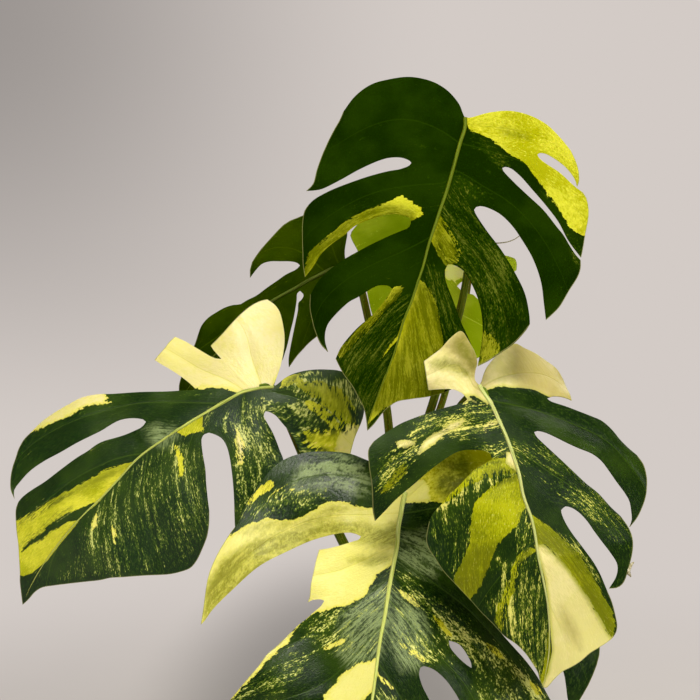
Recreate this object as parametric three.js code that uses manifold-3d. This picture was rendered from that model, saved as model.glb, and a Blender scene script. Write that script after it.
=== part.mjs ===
// A potted Monstera deliciosa 'Aurea': six blades on their stalks, a short cane,
// soil and a plain stoneware pot. Millimetres, +Z up, origin under the pot's centre.
//
// Every blade is drawn on one elevation sheet, x to the right and y down, one unit
// to a millimetre at the cane. The sheet is seen from EYE, and each drawn point is laid
// on the blade's own curved surface along its sightline.
import * as THREE from 'three';
import { mergeVertices } from 'three/addons/utils/BufferGeometryUtils.js';
import Module from 'manifold-3d';

const wasm = await Module();
wasm.setup();

// Driving dimensions
const SHEET_CENTRE = 350;
const SHEET_DISTANCE = 1400;
const SHEET_TARGET = new THREE.Vector3(-60, 0, 715);
const SHEET_PITCH = THREE.MathUtils.degToRad(6);
const BLADE_THICKNESS = 0.9;
const SEAT_GAP = 0.35;
const RUNGS = 8;
const SEAM_RUNGS = 2;
const HOLE_RUNGS = 3;
const STATION_STEP = 26;
const LEAST_CELLS = 2;
const TIP_RUN = 0.12;
const POT_HEIGHT = 215;
const POT_TOP_RADIUS = 122;
const POT_FOOT_RADIUS = 92;
const POT_WALL = 8;
const POT_FLOOR = 11;
const POT_SIDES = 36;
const RIM_BEVEL = 1.2;
const DRAIN_RADIUS = 8;
const DRAIN_RING = 45;
const SOIL_TOP = 190;
const SOIL_HOLE_FLOOR = 140;
const CANE_RADIUS = 15;
const CANE_TOP_RADIUS = 10;
const CANE_TOP = 335;
const CANE_RINGS = 24;
const CANE_SIDES = 10;
const PETIOLE_RINGS = 22;
const PETIOLE_SIDES = 6;

// Sheet to space
const viewForward = new THREE.Vector3(0, Math.cos(SHEET_PITCH), -Math.sin(SHEET_PITCH));
const viewUp = new THREE.Vector3(0, Math.sin(SHEET_PITCH), Math.cos(SHEET_PITCH));
const EYE = SHEET_TARGET.clone().addScaledVector(viewForward, -SHEET_DISTANCE);

function fromSheet(x, y, depth) {
  const direction = viewForward.clone();
  direction.x += (x - SHEET_CENTRE) / SHEET_DISTANCE;
  direction.addScaledVector(viewUp, (SHEET_CENTRE - y) / SHEET_DISTANCE);
  return EYE.clone().addScaledVector(direction, (depth - EYE.y) / direction.y);
}

// Drawn curves
// Evenly spaced points along a smooth line through the drawn ones.
function along(points, count) {
  if (points.length === 2) {
    const [a, b] = points;
    return Array.from({ length: count + 1 }, (_, i) => [
      a[0] + ((b[0] - a[0]) * i) / count,
      a[1] + ((b[1] - a[1]) * i) / count,
    ]);
  }
  const curve = new THREE.CatmullRomCurve3(
    points.map(([x, y]) => new THREE.Vector3(x, y, 0)),
    false,
    'centripetal',
  );
  curve.arcLengthDivisions = 40 * points.length;
  return curve.getSpacedPoints(count).map((p) => [p.x, p.y]);
}

// Value at t in a list of [t, value] stops.
function graded(stops, t) {
  if (stops.length === 1) return stops[0][1];
  let k = 1;
  while (k < stops.length - 1 && t > stops[k][0]) k += 1;
  const [t0, v0] = stops[k - 1];
  const [t1, v1] = stops[k];
  return v0 + ((v1 - v0) * (t - t0)) / (t1 - t0);
}

// The drawn blades
// midrib: stalk to point. depth: [share of the midrib, y in space], nearer is lower.
// Each half has the edge from the stalk (shoulder), the cuts from the stalk outwards and
// the margins between them. A cut starts on the midrib at its share `at`, follows the seam
// to its root, and opens between its near and far banks. lean and curl tilt a half back.
const LEAF_TOP = {
  midrib: [[465, 118], [465, 127], [460, 143.6], [453.4, 167.6], [447.4, 189], [442, 204.6],
    [436.5, 221], [428.8, 244.6], [422.7, 267.7], [418, 281.5], [412, 300], [404, 320],
    [396.5, 346], [388.8, 367.7], [381, 387.7], [372, 412], [367.3, 430.8]],
  depth: [[0, -50], [0.25, -80], [0.5, -110], [0.75, -138], [1, -160]],
  halves: [
    {
      lean: [[0, 0.12], [1, 0.12]],
      curl: [[0, 0.0007], [1, 0.0007]],
      shoulder: [[463, 114], [459.5, 105], [451, 94], [442.6, 87], [430.6, 81], [410, 77],
        [388, 79.7], [370.6, 85], [355, 96.6], [343.4, 112]],
      cuts: [
        {
          at: 0.167,
          seam: [[430, 163.5], [411.5, 163]],
          near: [[410, 161], [405.5, 158.7], [400, 157.4], [390, 157.6], [380.5, 160], [360, 169],
            [340, 180], [321.6, 189], [315, 190.3], [306.3, 191]],
          far: [[409, 166], [404, 168], [399, 169.6], [390, 171], [370.6, 176], [350, 183],
            [330, 191], [314, 200], [308, 206]],
        },
        {
          at: 0.31,
          seam: [[424, 218], [411, 220]],
          near: [[409, 217.5], [399, 214.3], [388, 214.3], [377, 217], [355, 226], [344.5, 235],
            [333, 243], [321, 254], [313, 267], [305, 277]],
          far: [[411, 222], [409, 227.4], [400, 231.5], [387, 237], [361, 250], [336.5, 264.6],
            [319.6, 280], [310.4, 295]],
        },
        {
          at: 0.485,
          seam: [[405, 282], [392, 288.5]],
          near: [[388.8, 286], [384, 285], [376.5, 286], [358, 297], [348.8, 302], [332, 318.5],
            [327, 326], [325, 334], [325, 341.5], [328, 352]],
          far: [[390.4, 292], [387, 297.7], [373.5, 314], [356.5, 329], [341, 347.7],
            [335.8, 359]],
        },
      ],
      margins: [
        [[339.6, 120.6], [333.6, 131], [324.3, 150], [317, 169.6], [313, 184]],
        [[304.7, 211], [302.9, 219], [302.2, 235], [302.7, 254], [303, 265]],
        [[310, 307.7], [312, 320], [316, 334], [321, 344.6]],
        [[339.6, 367], [344, 375], [352, 386], [358, 397], [363.5, 407.7], [366, 418.5]],
      ],
    },
    {
      lean: [[0, 0.1], [0.2, -0.1], [0.35, 0], [1, 0.05]],
      curl: [[0, 0.0006], [1, 0.0006]],
      lifts: [0, 0, 0, -34, 0],
      shoulder: [[472, 117.4], [480, 115], [490, 112.5], [509.6, 111], [528, 115], [545.5, 124],
        [559.7, 137.6], [570.6, 151]],
      cuts: [
        {
          at: 0.05,
          seam: [[485, 140], [510, 146], [537.3, 154.5]],
          near: [[540, 153], [544.4, 153.4], [552, 157], [566, 167.6], [575, 180], [577, 187]],
          far: [[539, 158], [544.4, 162.7], [559.7, 173], [571, 183.5], [577.8, 189.5]],
        },
        {
          at: 0.11,
          seam: [[482, 158], [502, 168]],
          near: [[505, 166.7], [510.6, 168], [520.5, 176], [532.4, 189.4], [545.5, 204.6],
            [558.6, 222], [568.4, 240.6], [581, 257.5]],
          far: [[502.5, 170.2], [513, 181.7], [528, 196], [543, 210], [556.5, 227], [563, 235],
            [569.5, 246], [575, 254.5], [580.4, 260.5]],
        },
        {
          at: 0.19,
          seam: [[464, 196], [474, 210]],
          near: [[474.7, 208], [478, 206.3], [483.4, 206.3], [498.7, 213], [511.7, 225],
            [522.6, 240.6], [533, 258.8], [541, 282], [544, 304], [546, 320]],
          far: [[475, 213], [486.7, 231], [501, 250], [514.6, 272.7], [525, 294.6],
            [529.4, 317.7], [529.6, 324.6]],
        },
        {
          at: 0.375,
          seam: [[440, 255], [445, 270]],
          near: [[445.4, 268], [447.7, 264.6], [452.3, 264.3], [462.7, 270], [474, 289],
            [480.6, 308.5], [482.7, 331.5], [479.4, 357], [477.7, 366]],
          far: [[445.4, 279.6], [453.5, 301.5], [461, 322], [469.6, 341], [476, 362], [474, 371]],
        },
      ],
      margins: [
        [[575, 160], [577.7, 167.6], [579, 175], [579, 181.7]],
        [[581, 191], [585.8, 197], [588.6, 213], [585, 235], [582.6, 250]],
        [[580.4, 268], [578, 276], [568.8, 291], [559.6, 306.7], [553.8, 313]],
        [[526, 330], [513.5, 343.6], [496, 355.8], [487, 361.5]],
        [[465, 380], [448, 391], [429, 396.6], [412, 399], [396.5, 402], [387, 408.5],
          [381, 415], [373.5, 424.6]],
      ],
    },
  ],
};

const LEAF_RIGHT = {
  midrib: [[479, 385.5], [486.2, 396.8], [492.3, 406], [498.5, 419.4], [503.6, 430.6],
    [508.7, 443], [513.8, 457.3], [519, 473.7], [523.6, 496.5], [530.9, 516.7], [534.6, 532],
    [538.5, 557.7], [543.6, 582], [547.4, 602.6], [549.4, 628], [549.4, 641], [548, 660],
    [544.9, 677], [543.3, 687]],
  depth: [[0, -150], [0.3, -185], [0.6, -208], [1, -205]],
  halves: [
    {
      lean: [[0, -0.35], [0.05, -0.2], [0.225, -0.02], [0.5, 0.1], [1, 0]],
      curl: [[0, 0], [0.225, 0], [0.5, 0.0008], [1, 0.0008]],
      shoulder: [[474.7, 380], [474.7, 373.2], [477, 363], [474.9, 352.7], [468.7, 341.4],
        [461, 331.2], [450.3, 338.3], [441, 348.6], [431.8, 355.8], [423.8, 361.6]],
      cuts: [
        {
          at: 0.05,
          seam: [[478, 400], [467.4, 399]],
          near: [[462.6, 393.7], [456.4, 390.4], [450.3, 389.1], [440, 389.1], [428.2, 389.9]],
          far: [[464.1, 402.4], [458.5, 404.2], [442, 408.6], [420.5, 415.8], [400, 424],
            [390.8, 429.6], [380.5, 436.3], [373.3, 441.9]],
        },
        {
          at: 0.225,
          seam: [[500, 455], [492.3, 458.8]],
          near: [[491.3, 454.7], [487.2, 451.7], [482, 450.3], [470.8, 449.9], [461.5, 450.6],
            [452.3, 454.4], [431.8, 468.6], [413.3, 484.5], [396, 499], [384, 511.5],
            [375, 520.7]],
          far: [[487.2, 462.4], [481, 466], [473.8, 470.6], [467.7, 476.8], [458.7, 486.2],
            [449.8, 494.3], [441, 504.7], [433.6, 512.8], [429.2, 521.6]],
        },
      ],
      margins: [
        [[425.1, 369.1], [426.7, 379.4]],
        [[368.7, 448.6], [368, 454.2], [368.7, 461.4], [369.2, 468.6], [371.3, 481.9],
          [372, 490], [373, 511.5]],
        [[427, 532], [426.2, 540.8], [429.2, 549.6], [433.6, 556.3], [443.9, 571.8],
          [454.2, 582.8], [469, 598.3], [480.8, 611.6], [492.6, 623.4], [504.4, 635.9],
          [516.2, 644], [525, 652.9], [532.4, 663.2], [538.3, 673.5], [539.8, 680.2]],
      ],
    },
    {
      lean: [[0, 1.3], [0.02, 0.6], [0.13, 0.3], [0.29, 0.15], [1, 0.15]],
      curl: [[0, -0.006], [0.02, -0.0015], [0.13, -0.0002], [0.29, 0.0004], [1, 0.001]],
      shoulder: [[481, 382.6], [485.8, 369.2], [495, 357], [505, 348.5], [515, 343.7],
        [523.6, 347.9], [535.8, 354], [545.5, 360.7], [556.5, 369.2], [562.6, 379]],
      cuts: [
        {
          at: 0.02,
          seam: [[494, 389.5], [510, 390], [524, 391], [536, 394], [546.7, 398.5]],
          near: [[552.8, 396.4], [560, 396.6], [567.4, 398.5], [571.5, 400.5]],
          far: [[550, 401.3], [555.3, 403.3], [565, 406.4], [579.6, 411.9], [591.8, 416.7],
            [601.5, 421], [611.3, 429.5], [619.8, 439.9], [628.3, 448.4], [636.9, 455.7]],
        },
        {
          at: 0.13,
          seam: [[516, 427], [533.9, 432]],
          near: [[537, 430.7], [544.3, 432], [555.3, 436.8], [567.4, 442.9], [579.6, 448.4],
            [591.8, 453.3], [601.5, 460.6], [608.9, 470.3], [617.4, 482.5], [624.7, 492.3],
            [629.6, 500.8], [631.4, 510.5], [632, 520.3], [629.6, 527]],
          far: [[535.8, 436.2], [543, 443.5], [562.6, 461.8], [573.5, 472.2], [585.7, 483.7],
            [597.9, 493.5], [610, 506.9], [620.5, 516.7]],
        },
        {
          at: 0.29,
          seam: [[530, 483], [545, 497], [560.9, 510.3]],
          near: [[565.4, 506.4], [571.8, 507.7], [579.5, 512.8], [587.2, 521], [594.9, 532],
            [602.6, 542.3], [610.3, 552.6], [616.7, 562.8], [617.7, 569.2], [616, 577],
            [612, 584], [609, 588.5]],
          far: [[561.5, 514], [565.4, 523], [571.8, 533.3], [579.5, 543.6], [587.2, 553.8],
            [593.6, 562.8], [600, 574.4], [604.6, 585.5], [606.8, 591]],
        },
      ],
      margins: [
        [[566.2, 387.5], [569.9, 394.8]],
        [[643, 464.2], [646, 474], [646.9, 485], [645.4, 497], [641.7, 508], [636.9, 517.8]],
        [[628.2, 527.6], [632, 537.2], [632.7, 548.7], [629.5, 564], [623, 583.3],
          [616.7, 587.8]],
        [[611.5, 601.3], [614.7, 612.8], [616.9, 623], [616.4, 630.8], [612.8, 637.2],
          [607.7, 641.7], [600, 646.8], [589.7, 653.2], [580.8, 660.9], [571.8, 666.7],
          [562.8, 671.2], [555, 678.2], [546, 687.8]],
      ],
    },
  ],
};

const LEAF_FRONT = {
  midrib: [[405.4, 492.5], [403, 501.5], [400.8, 513.8], [398.5, 526.2], [397, 545],
    [393.8, 563], [390, 583], [387, 601.5], [384.6, 616.9], [380.8, 636.4], [378, 655],
    [375.5, 677], [372.3, 699.2], [368, 730], [364, 765], [360, 800], [357, 828], [355, 848]],
  depth: [[0, -120], [0.3, -165], [0.6, -200], [1, -225]],
  halves: [
    {
      lean: [[0, -0.05], [0.2, -0.02], [1, 0.1]],
      curl: [[0, 0.0003], [1, 0.0006]],
      shoulder: [[404, 489], [398, 480], [388, 470], [378, 464], [368.5, 460.8], [350, 453.8],
        [325.4, 451.5], [300.8, 453.8], [282.3, 460.8], [265.4, 476.2], [250, 498.5],
        [236.2, 526.2]],
      cuts: [
        {
          at: 0.08,
          seam: [[385, 527], [373, 532], [360.8, 536.2]],
          near: [[353, 533], [343.8, 532.8], [334.6, 534.2], [313, 540], [288.5, 550.8],
            [259.2, 566.2], [233, 589.2], [211.5, 610.8], [204.6, 620.8], [200.8, 624.6]],
          far: [[359.2, 539.2], [353, 541.5], [340.8, 545.4], [328.5, 548.5], [319.2, 550]],
        },
        {
          at: 0.21,
          seam: [[375, 576], [350, 589], [335, 597], [324.2, 600.8]],
          near: [[320.8, 599.5], [313, 600], [307.7, 602.3]],
          far: [[320.8, 606.2], [314.6, 611.5], [306.9, 618.5], [299.2, 624.6], [291.5, 632.3],
            [283.8, 640]],
        },
        {
          at: 0.45,
          seam: [[352, 695], [325, 725]],
          near: [[312, 727], [290, 730], [262, 738], [235, 748], [212, 757]],
          far: [[318, 736], [300, 748], [280, 762], [268, 772]],
        },
      ],
      margins: [
        [[230, 533.8], [217.7, 553.8], [208.5, 575.4], [204.6, 598.5], [203, 610.8]],
        [[316.2, 560], [313.8, 570.8], [310.8, 584.6], [309.7, 596.9]],
        [[275.4, 647.7], [266.2, 655.4], [258.5, 666.2], [249.2, 676.9], [240, 687.7],
          [230, 700], [218, 716], [211, 735]],
        [[262, 784], [263, 800], [272, 815], [290, 828], [315, 838], [335, 843]],
      ],
    },
    {
      lean: [[0, 0.3], [0.15, 0.3], [0.35, 0.15], [1, 0.1]],
      curl: [[0, 0], [1, 0.0004]],
      shoulder: [[408, 484], [415, 468], [430, 450], [450, 440], [470, 436], [492, 438],
        [512, 447], [530, 462], [542, 477]],
      cuts: [
        {
          at: 0.15,
          seam: [[420, 562], [448, 580], [474, 598]],
          near: [[495, 606], [520, 620], [540, 635], [555, 655], [563.7, 672.4], [566, 685],
            [568, 700], [572, 712]],
          far: [[484, 612], [494, 624], [501.4, 633.7], [513.2, 647], [525, 660.3],
            [536.8, 676.5], [550, 700]],
        },
        {
          at: 0.25,
          seam: [[415, 605], [435, 625], [448.6, 640.4]],
          near: [[458.7, 644], [466, 652.9], [471.2, 663.2], [471.7, 668.4]],
          far: [[449.8, 647], [457.2, 656.6], [466, 664.7], [471.7, 668.4]],
          close: [[485, 690], [500, 715], [518, 745], [540, 782]],
        },
        {
          at: 0.35,
          seam: [[402, 642], [420.3, 667.6]],
          near: [[423.3, 666.2], [432, 668.4], [439.5, 673.5], [446.9, 681], [454.2, 691.2],
            [459.4, 700], [470, 722], [485, 750], [498, 780]],
          far: [[418.8, 673.5], [422.5, 686.8], [429.2, 700], [440, 728], [452, 755],
            [462, 782]],
        },
      ],
      margins: [
        [[550, 490], [557, 507], [565, 530], [575, 552], [585, 570], [594, 590], [600, 615],
          [600, 640], [598.7, 657.7], [589.7, 682], [579.5, 700]],
        [[560, 722], [566, 745], [566, 765], [556, 778]],
        [[526, 785], [510, 784]],
        [[465, 797], [462, 812], [448, 828], [425, 838], [395, 844], [372, 848]],
      ],
    },
  ],
};

const LEAF_LEFT = {
  midrib: [[273.5, 387], [260.6, 388], [250.3, 390.2], [240, 393.2], [229.6, 399.1],
    [219.3, 405], [209, 410.9], [198.7, 416.8], [186.9, 424.2], [175, 431.5], [163.3, 439.6],
    [149.2, 449.2], [138.5, 457.7], [130.8, 465.4], [121.5, 476.2], [110.8, 487.7],
    [100, 499.2], [89.2, 509.2], [78.5, 520], [67.7, 532.3], [57.5, 545], [48.5, 557],
    [40.5, 569], [33.5, 581], [27.5, 593], [22.8, 604.6]],
  depth: [[0, -30], [0.3, -50], [0.7, -60], [1, -45]],
  halves: [
    {
      lean: [[0, 0.45], [0.1, 0.6], [1, 0.6]],
      curl: [[0, 0], [1, 0.001]],
      shoulder: [[276.8, 377], [281.2, 363.7], [284.5, 343.1], [283.9, 329.8], [279.7, 312.1],
        [275.3, 305.5], [267.2, 299.6]],
      cuts: [
        {
          at: 0.065,
          seam: [[236, 375], [221.5, 359]],
          near: [[217.8, 354.9], [213.4, 349.7], [210.9, 345.7]],
          far: [[216.3, 358.6], [210.4, 356.3], [201.6, 351.2], [194.2, 346.8], [185.4, 341.6],
            [175, 336.9]],
        },
        {
          at: 0.105,
          seam: [[226.7, 390.2], [214.9, 388.3], [204.5, 389.5], [196, 389.3]],
          near: [[188.3, 382.1], [179.5, 375.5], [169.2, 368.9], [160.3, 363.7], [154.9, 360]],
          far: [[192, 390.5], [185.3, 390.6], [166.7, 391.7], [141, 392.2], [111.5, 394.1],
            [97.4, 394.5], [82, 397.7], [71.8, 402.8], [51.3, 415], [41, 422.7], [30.8, 433]],
        },
        {
          at: 0.285,
          seam: [[170, 425], [158, 423], [146.2, 422]],
          near: [[143.6, 419.5], [137.2, 418.2], [128.2, 418.2], [119.2, 420.1], [111.5, 424],
            [101.3, 430.4], [89.7, 436.2], [76.9, 442.6], [60.3, 452.2], [43.6, 461.2],
            [30, 470.8], [20.5, 481], [14, 490.5], [14.6, 499.2]],
          far: [[142.3, 427.2], [135.9, 430.4], [125.6, 434.9], [115.4, 438.1], [103.8, 441.3],
            [96.2, 445.1], [88.5, 450.9], [76.9, 458], [60, 470.5], [44.6, 482.3],
            [32.3, 490], [23, 497], [18.5, 502.3]],
        },
      ],
      margins: [
        [[260.6, 301], [251.7, 305.5], [241.4, 313.6], [232.6, 322.4], [220.8, 335.7]],
        [[169.2, 342.3], [164.7, 348.2], [158.8, 354.9]],
        [[24.4, 439.4], [19.2, 448.3], [15.4, 459.2], [12.2, 469.5], [10.6, 479.7], [10.9, 490]],
        [[16.2, 509.2], [16.2, 523], [16.9, 532.3], [18.5, 544.6], [19.2, 557], [20, 572.3],
          [20, 581.5], [21.2, 592.3]],
      ],
    },
    {
      lean: [[0, -0.15], [0.3, -0.15], [1, 0]],
      curl: [[0, 0.0005], [1, 0.0008]],
      shoulder: [[278.3, 383.6], [285.6, 377.7], [293, 374], [303.3, 371.1], [315.1, 369.6],
        [326.9, 369.6], [340.2, 371.1], [352, 378], [361, 391], [364, 404], [363.8, 412.4]],
      cuts: [
        {
          at: 0.035,
          seam: [[264, 398], [265.5, 411.3]],
          near: [[268, 411.6], [275.3, 415.3], [281.2, 422], [288.6, 430.8], [294.5, 440.4],
            [300.4, 452.9], [310, 466], [325, 475], [341, 478]],
          far: [[263.5, 415.3], [267.9, 424.2], [272.4, 432.3], [276.8, 442.6], [279.7, 450.7],
            [283, 458.8], [284, 475], [279, 493], [270, 510]],
        },
        {
          at: 0.14,
          seam: [[219, 415], [209, 432.7]],
          near: [[214.9, 434.5], [222.2, 438.9], [226.7, 446.3], [229.6, 456.6], [231.8, 471.3],
            [233.3, 486], [234.2, 501.5], [234.6, 516.9], [235.5, 530], [239, 542]],
          far: [[203.8, 434.5], [201.6, 438.9], [201.5, 443], [203, 455.4], [205.4, 469.2],
            [206.2, 483], [207.7, 498.5], [209.2, 510.8]],
        },
      ],
      margins: [
        [[362.3, 419.7], [359.3, 427.1], [354.9, 437.4], [350.5, 453.6], [347, 468]],
        [[262, 522], [250, 534]],
        [[209.2, 523], [206.9, 537], [201.5, 550.8], [197, 560], [190.8, 567.7], [181.5, 571.5],
          [169.2, 574.2], [146.2, 575.4], [123, 577], [110.8, 577.7], [100, 580], [86.2, 581.5],
          [66.2, 583.8], [53.8, 585.4], [42, 587.5], [35, 592], [28, 600]],
      ],
    },
  ],
};

const LEAF_BACK = {
  midrib: [[347, 264], [331, 269], [318, 275.5], [306, 281.6], [297, 287], [272, 301],
    [250, 318], [230, 338], [212, 358], [195, 379], [180, 400]],
  depth: [[0, 55], [0.5, 60], [1, 45]],
  halves: [
    {
      lean: [[0, 0.2], [1, 0.2]],
      curl: [[0, 0], [1, 0]],
      shoulder: [[345.4, 260], [344.7, 251.3], [346, 242.3], [347.3, 233.3], [345, 222],
        [338, 212], [325, 208], [312, 211]],
      cuts: [
        {
          at: 0.14,
          seam: [[309, 271], [300, 265.6]],
          near: [[297.3, 263], [291.5, 261.5], [280, 261.3], [269.7, 261.5], [262, 264],
            [256, 270], [250, 278]],
          far: [[296.7, 269.2], [286.4, 274.4], [277.4, 280.8], [267.2, 287.8], [257, 295.5],
            [246.7, 300.6], [240.3, 304.5], [233.8, 305], [224.9, 307.7], [215.9, 312.8],
            [208.2, 318], [201.8, 325.6], [198, 335.9]],
        },
      ],
      margins: [
        [[302.4, 216], [295.4, 218.6], [286, 223], [270, 239], [258, 253], [250.5, 266]],
        [[194.7, 345.5], [189, 358], [183, 372], [179, 386]],
      ],
    },
    {
      lean: [[0, -0.1], [1, -0.1]],
      curl: [[0, 0.001], [1, 0.001]],
      shoulder: [[352, 268], [354, 278], [350, 290], [340, 304], [328, 320], [316.5, 336.5]],
      cuts: [
        {
          at: 0.2,
          seam: [[305, 285], [300, 290.8]],
          near: [[303.7, 294.9], [301.8, 299.4], [298.6, 302.6], [298, 310], [295.4, 323],
            [292.8, 335.9], [290.3, 348.7], [288.7, 360.3], [289, 367.3]],
          far: [[297.3, 293], [296.7, 300], [295.4, 309], [293.5, 319.2], [290.3, 332],
            [287, 346.2], [282.6, 359.6]],
        },
      ],
      margins: [
        [[309.5, 342.3], [303, 349.4], [296.7, 356.4]],
        [[276, 366], [266, 362], [255, 361], [245, 365], [238, 374], [228, 385], [213, 395],
          [196, 401]],
      ],
    },
  ],
};

const LEAF_YOUNG = {
  midrib: [[470, 214], [455, 240], [440, 268], [430, 295], [424, 325], [421, 355], [420, 388]],
  depth: [[0, 25], [1, 40]],
  halves: [
    {
      lean: [[0, 0.12], [1, 0.12]],
      curl: [[0, 0.0004], [1, 0.0004]],
      shoulder: [[468, 206], [455, 196], [430, 190], [405, 194], [385, 203], [368, 215]],
      cuts: [],
      margins: [
        [[358, 224], [350.4, 234.6], [352.7, 241.5], [358, 251.5], [364, 272], [367, 292],
          [372, 314], [383, 342], [398, 368], [410, 382]],
      ],
    },
    {
      lean: [[0, 0.1], [1, 0.1]],
      curl: [[0, 0.0004], [1, 0.0004]],
      shoulder: [[474, 222], [482, 236], [492, 248], [500, 254], [508, 256.4]],
      cuts: [
        {
          at: 0.33,
          seam: [[450, 277], [457, 286]],
          near: [[462, 281.5], [469.6, 279.6], [482, 279], [495, 278], [507, 275],
            [516.3, 270]],
          far: [[461, 290], [468, 293.5], [473, 294.6], [477.7, 299], [490, 308]],
        },
      ],
      margins: [
        [[515, 258.8], [516.7, 263.5]],
        [[500, 318], [502, 332], [496, 344], [486, 353], [474, 360], [458, 368], [440, 378]],
      ],
    },
  ],
};

// Blade surfaces
function crossAndAlong(offset, axis) {
  return [
    Math.abs(offset[0] * axis[1] - offset[1] * axis[0]),
    offset[0] * axis[0] + offset[1] * axis[1],
  ];
}

// Everything about a blade that its two halves share.
function midribOf(leaf) {
  const curve = new THREE.CatmullRomCurve3(
    leaf.midrib.map(([x, y]) => new THREE.Vector3(x, y, 0)),
    false,
    'centripetal',
  );
  curve.arcLengthDivisions = 40 * leaf.midrib.length;
  const at = (share) => {
    const p = curve.getPointAt(Math.min(Math.max(share, 0), 1));
    return [p.x, p.y];
  };
  const foot = leaf.midrib[0];
  const point = leaf.midrib[leaf.midrib.length - 1];
  const span = Math.hypot(point[0] - foot[0], point[1] - foot[1]);
  const axis = [(point[0] - foot[0]) / span, (point[1] - foot[1]) / span];
  const starts = leaf.halves.flatMap((half) => half.cuts.map((cut) => cut.at));
  const knots = [...new Set([0, ...starts, 1 - TIP_RUN])].sort((a, b) => a - b);
  const stations = [0];
  for (let k = 1; k < knots.length; k += 1) {
    const run = knots[k] - knots[k - 1];
    const cells = Math.max(LEAST_CELLS, Math.round((run * curve.getLength()) / STATION_STEP));
    for (let i = 1; i <= cells; i += 1) stations.push(knots[k - 1] + (run * i) / cells);
  }
  return { at, axis, span, stations };
}

// One edge of a finger: the seam along the blade, then a bank of the cut and, behind a hole,
// the seam that closes it.
function cutEdge(midrib, cut, bank) {
  const seam = along([midrib.at(cut.at), ...cut.seam], SEAM_RUNGS);
  const root = cut.seam[cut.seam.length - 1];
  if (!cut.close) return [...seam, ...along([root, ...bank], RUNGS - SEAM_RUNGS).slice(1)];
  const hole = along([root, ...bank], HOLE_RUNGS);
  const end = bank[bank.length - 1];
  const rest = along([end, ...cut.close], RUNGS - SEAM_RUNGS - HOLE_RUNGS);
  return [...seam, ...hole.slice(1), ...rest.slice(1)];
}

// A net of points between four drawn edges: near and far run outwards, inner and outer along.
function stretched(near, far, inner, outer) {
  const cells = inner.length - 1;
  return near.map((_, i) => inner.map((__, j) => {
    const u = i / RUNGS;
    const v = j / cells;
    return [0, 1].map((c) => (1 - v) * near[i][c] + v * far[i][c]
      + (1 - u) * inner[j][c] + u * outer[j][c]
      - (1 - u) * ((1 - v) * near[0][c] + v * far[0][c])
      - u * ((1 - v) * near[RUNGS][c] + v * far[RUNGS][c]));
  }));
}

// A finger is a sheet stretched between the midrib, its two edges and its margin.
function fingerGrid(leaf, midrib, half, k) {
  const last = k === half.cuts.length;
  const from = k === 0 ? 0 : half.cuts[k - 1].at;
  const to = last ? 1 - TIP_RUN : half.cuts[k].at;
  const shares = midrib.stations.filter((s) => s > from - 1e-6 && s < to + 1e-6);
  const inner = shares.map(midrib.at);
  const near = k === 0
    ? along([midrib.at(0), ...half.shoulder], RUNGS)
    : cutEdge(midrib, half.cuts[k - 1], half.cuts[k - 1].far);
  const far = last
    ? near.map((_, i) => midrib.at(to + (TIP_RUN * i) / RUNGS))
    : cutEdge(midrib, half.cuts[k], half.cuts[k].near);
  const cells = shares.length - 1;
  const outer = along([near[RUNGS], ...half.margins[k], far[RUNGS]], cells);
  const lift = half.lifts ? half.lifts[k] : 0;
  return stretched(near, far, inner, outer).map((row, i) => row.map(([x, y], j) => {
    const share = shares[j] + (last ? (j / cells) * (i / RUNGS) * TIP_RUN : 0);
    const base = midrib.at(share);
    const [side, ahead] = crossAndAlong([x - base[0], y - base[1]], midrib.axis);
    const free = Math.max(0, (i - SEAM_RUNGS) / (RUNGS - SEAM_RUNGS));
    const depth = graded(leaf.depth, share + ahead / midrib.span)
      + graded(half.lean, share) * side
      + graded(half.curl, share) * side * side
      + lift * free * free;
    return [x, y, depth];
  }));
}

// Twice the area of a triangle on the sheet, negative when it runs the other way round.
function turning(p, q, r) {
  return (q[0] - p[0]) * (r[1] - p[1]) - (r[0] - p[0]) * (q[1] - p[1]);
}

// Splits a quad along the diagonal that leaves the rounder pair of triangles.
function splitQuad([a, b, c, d], sense) {
  const firstLeast = Math.min(sense * turning(a, b, c), sense * turning(a, c, d));
  const otherLeast = Math.min(sense * turning(a, b, d), sense * turning(b, c, d));
  return firstLeast > otherLeast ? [[a, b, c], [a, c, d]] : [[a, b, d], [b, c, d]];
}

// The whole sheet as shared vertices and triangles that all face the viewer.
function bladeSheet(leaf) {
  const midrib = midribOf(leaf);
  const vertices = [];
  const index = new Map();
  const triangles = [];
  const vertexOf = ([x, y, depth]) => {
    const key = `${x.toFixed(3)},${y.toFixed(3)}`;
    if (!index.has(key)) {
      index.set(key, vertices.length);
      vertices.push(fromSheet(x, y, depth));
    }
    return index.get(key);
  };
  for (const half of leaf.halves) {
    const quads = [];
    for (let k = 0; k <= half.cuts.length; k += 1) {
      const rows = fingerGrid(leaf, midrib, half, k);
      for (let i = 0; i < RUNGS; i += 1) {
        for (let j = 0; j + 1 < rows[i].length; j += 1) {
          quads.push([rows[i][j], rows[i][j + 1], rows[i + 1][j + 1], rows[i + 1][j]]);
        }
      }
    }
    const turn = quads.reduce((sum, [a, b, c, d]) => sum + turning(a, b, c) + turning(a, c, d), 0);
    const facing = turn > 0 ? (f) => [f[0], f[2], f[1]] : (f) => f;
    for (const quad of quads) {
      const faces = splitQuad(quad, Math.sign(turn)).map((face) => face.map(vertexOf));
      triangles.push(...faces.filter((f) => new Set(f).size === 3).map(facing));
    }
  }
  return { vertices, triangles };
}

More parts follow.
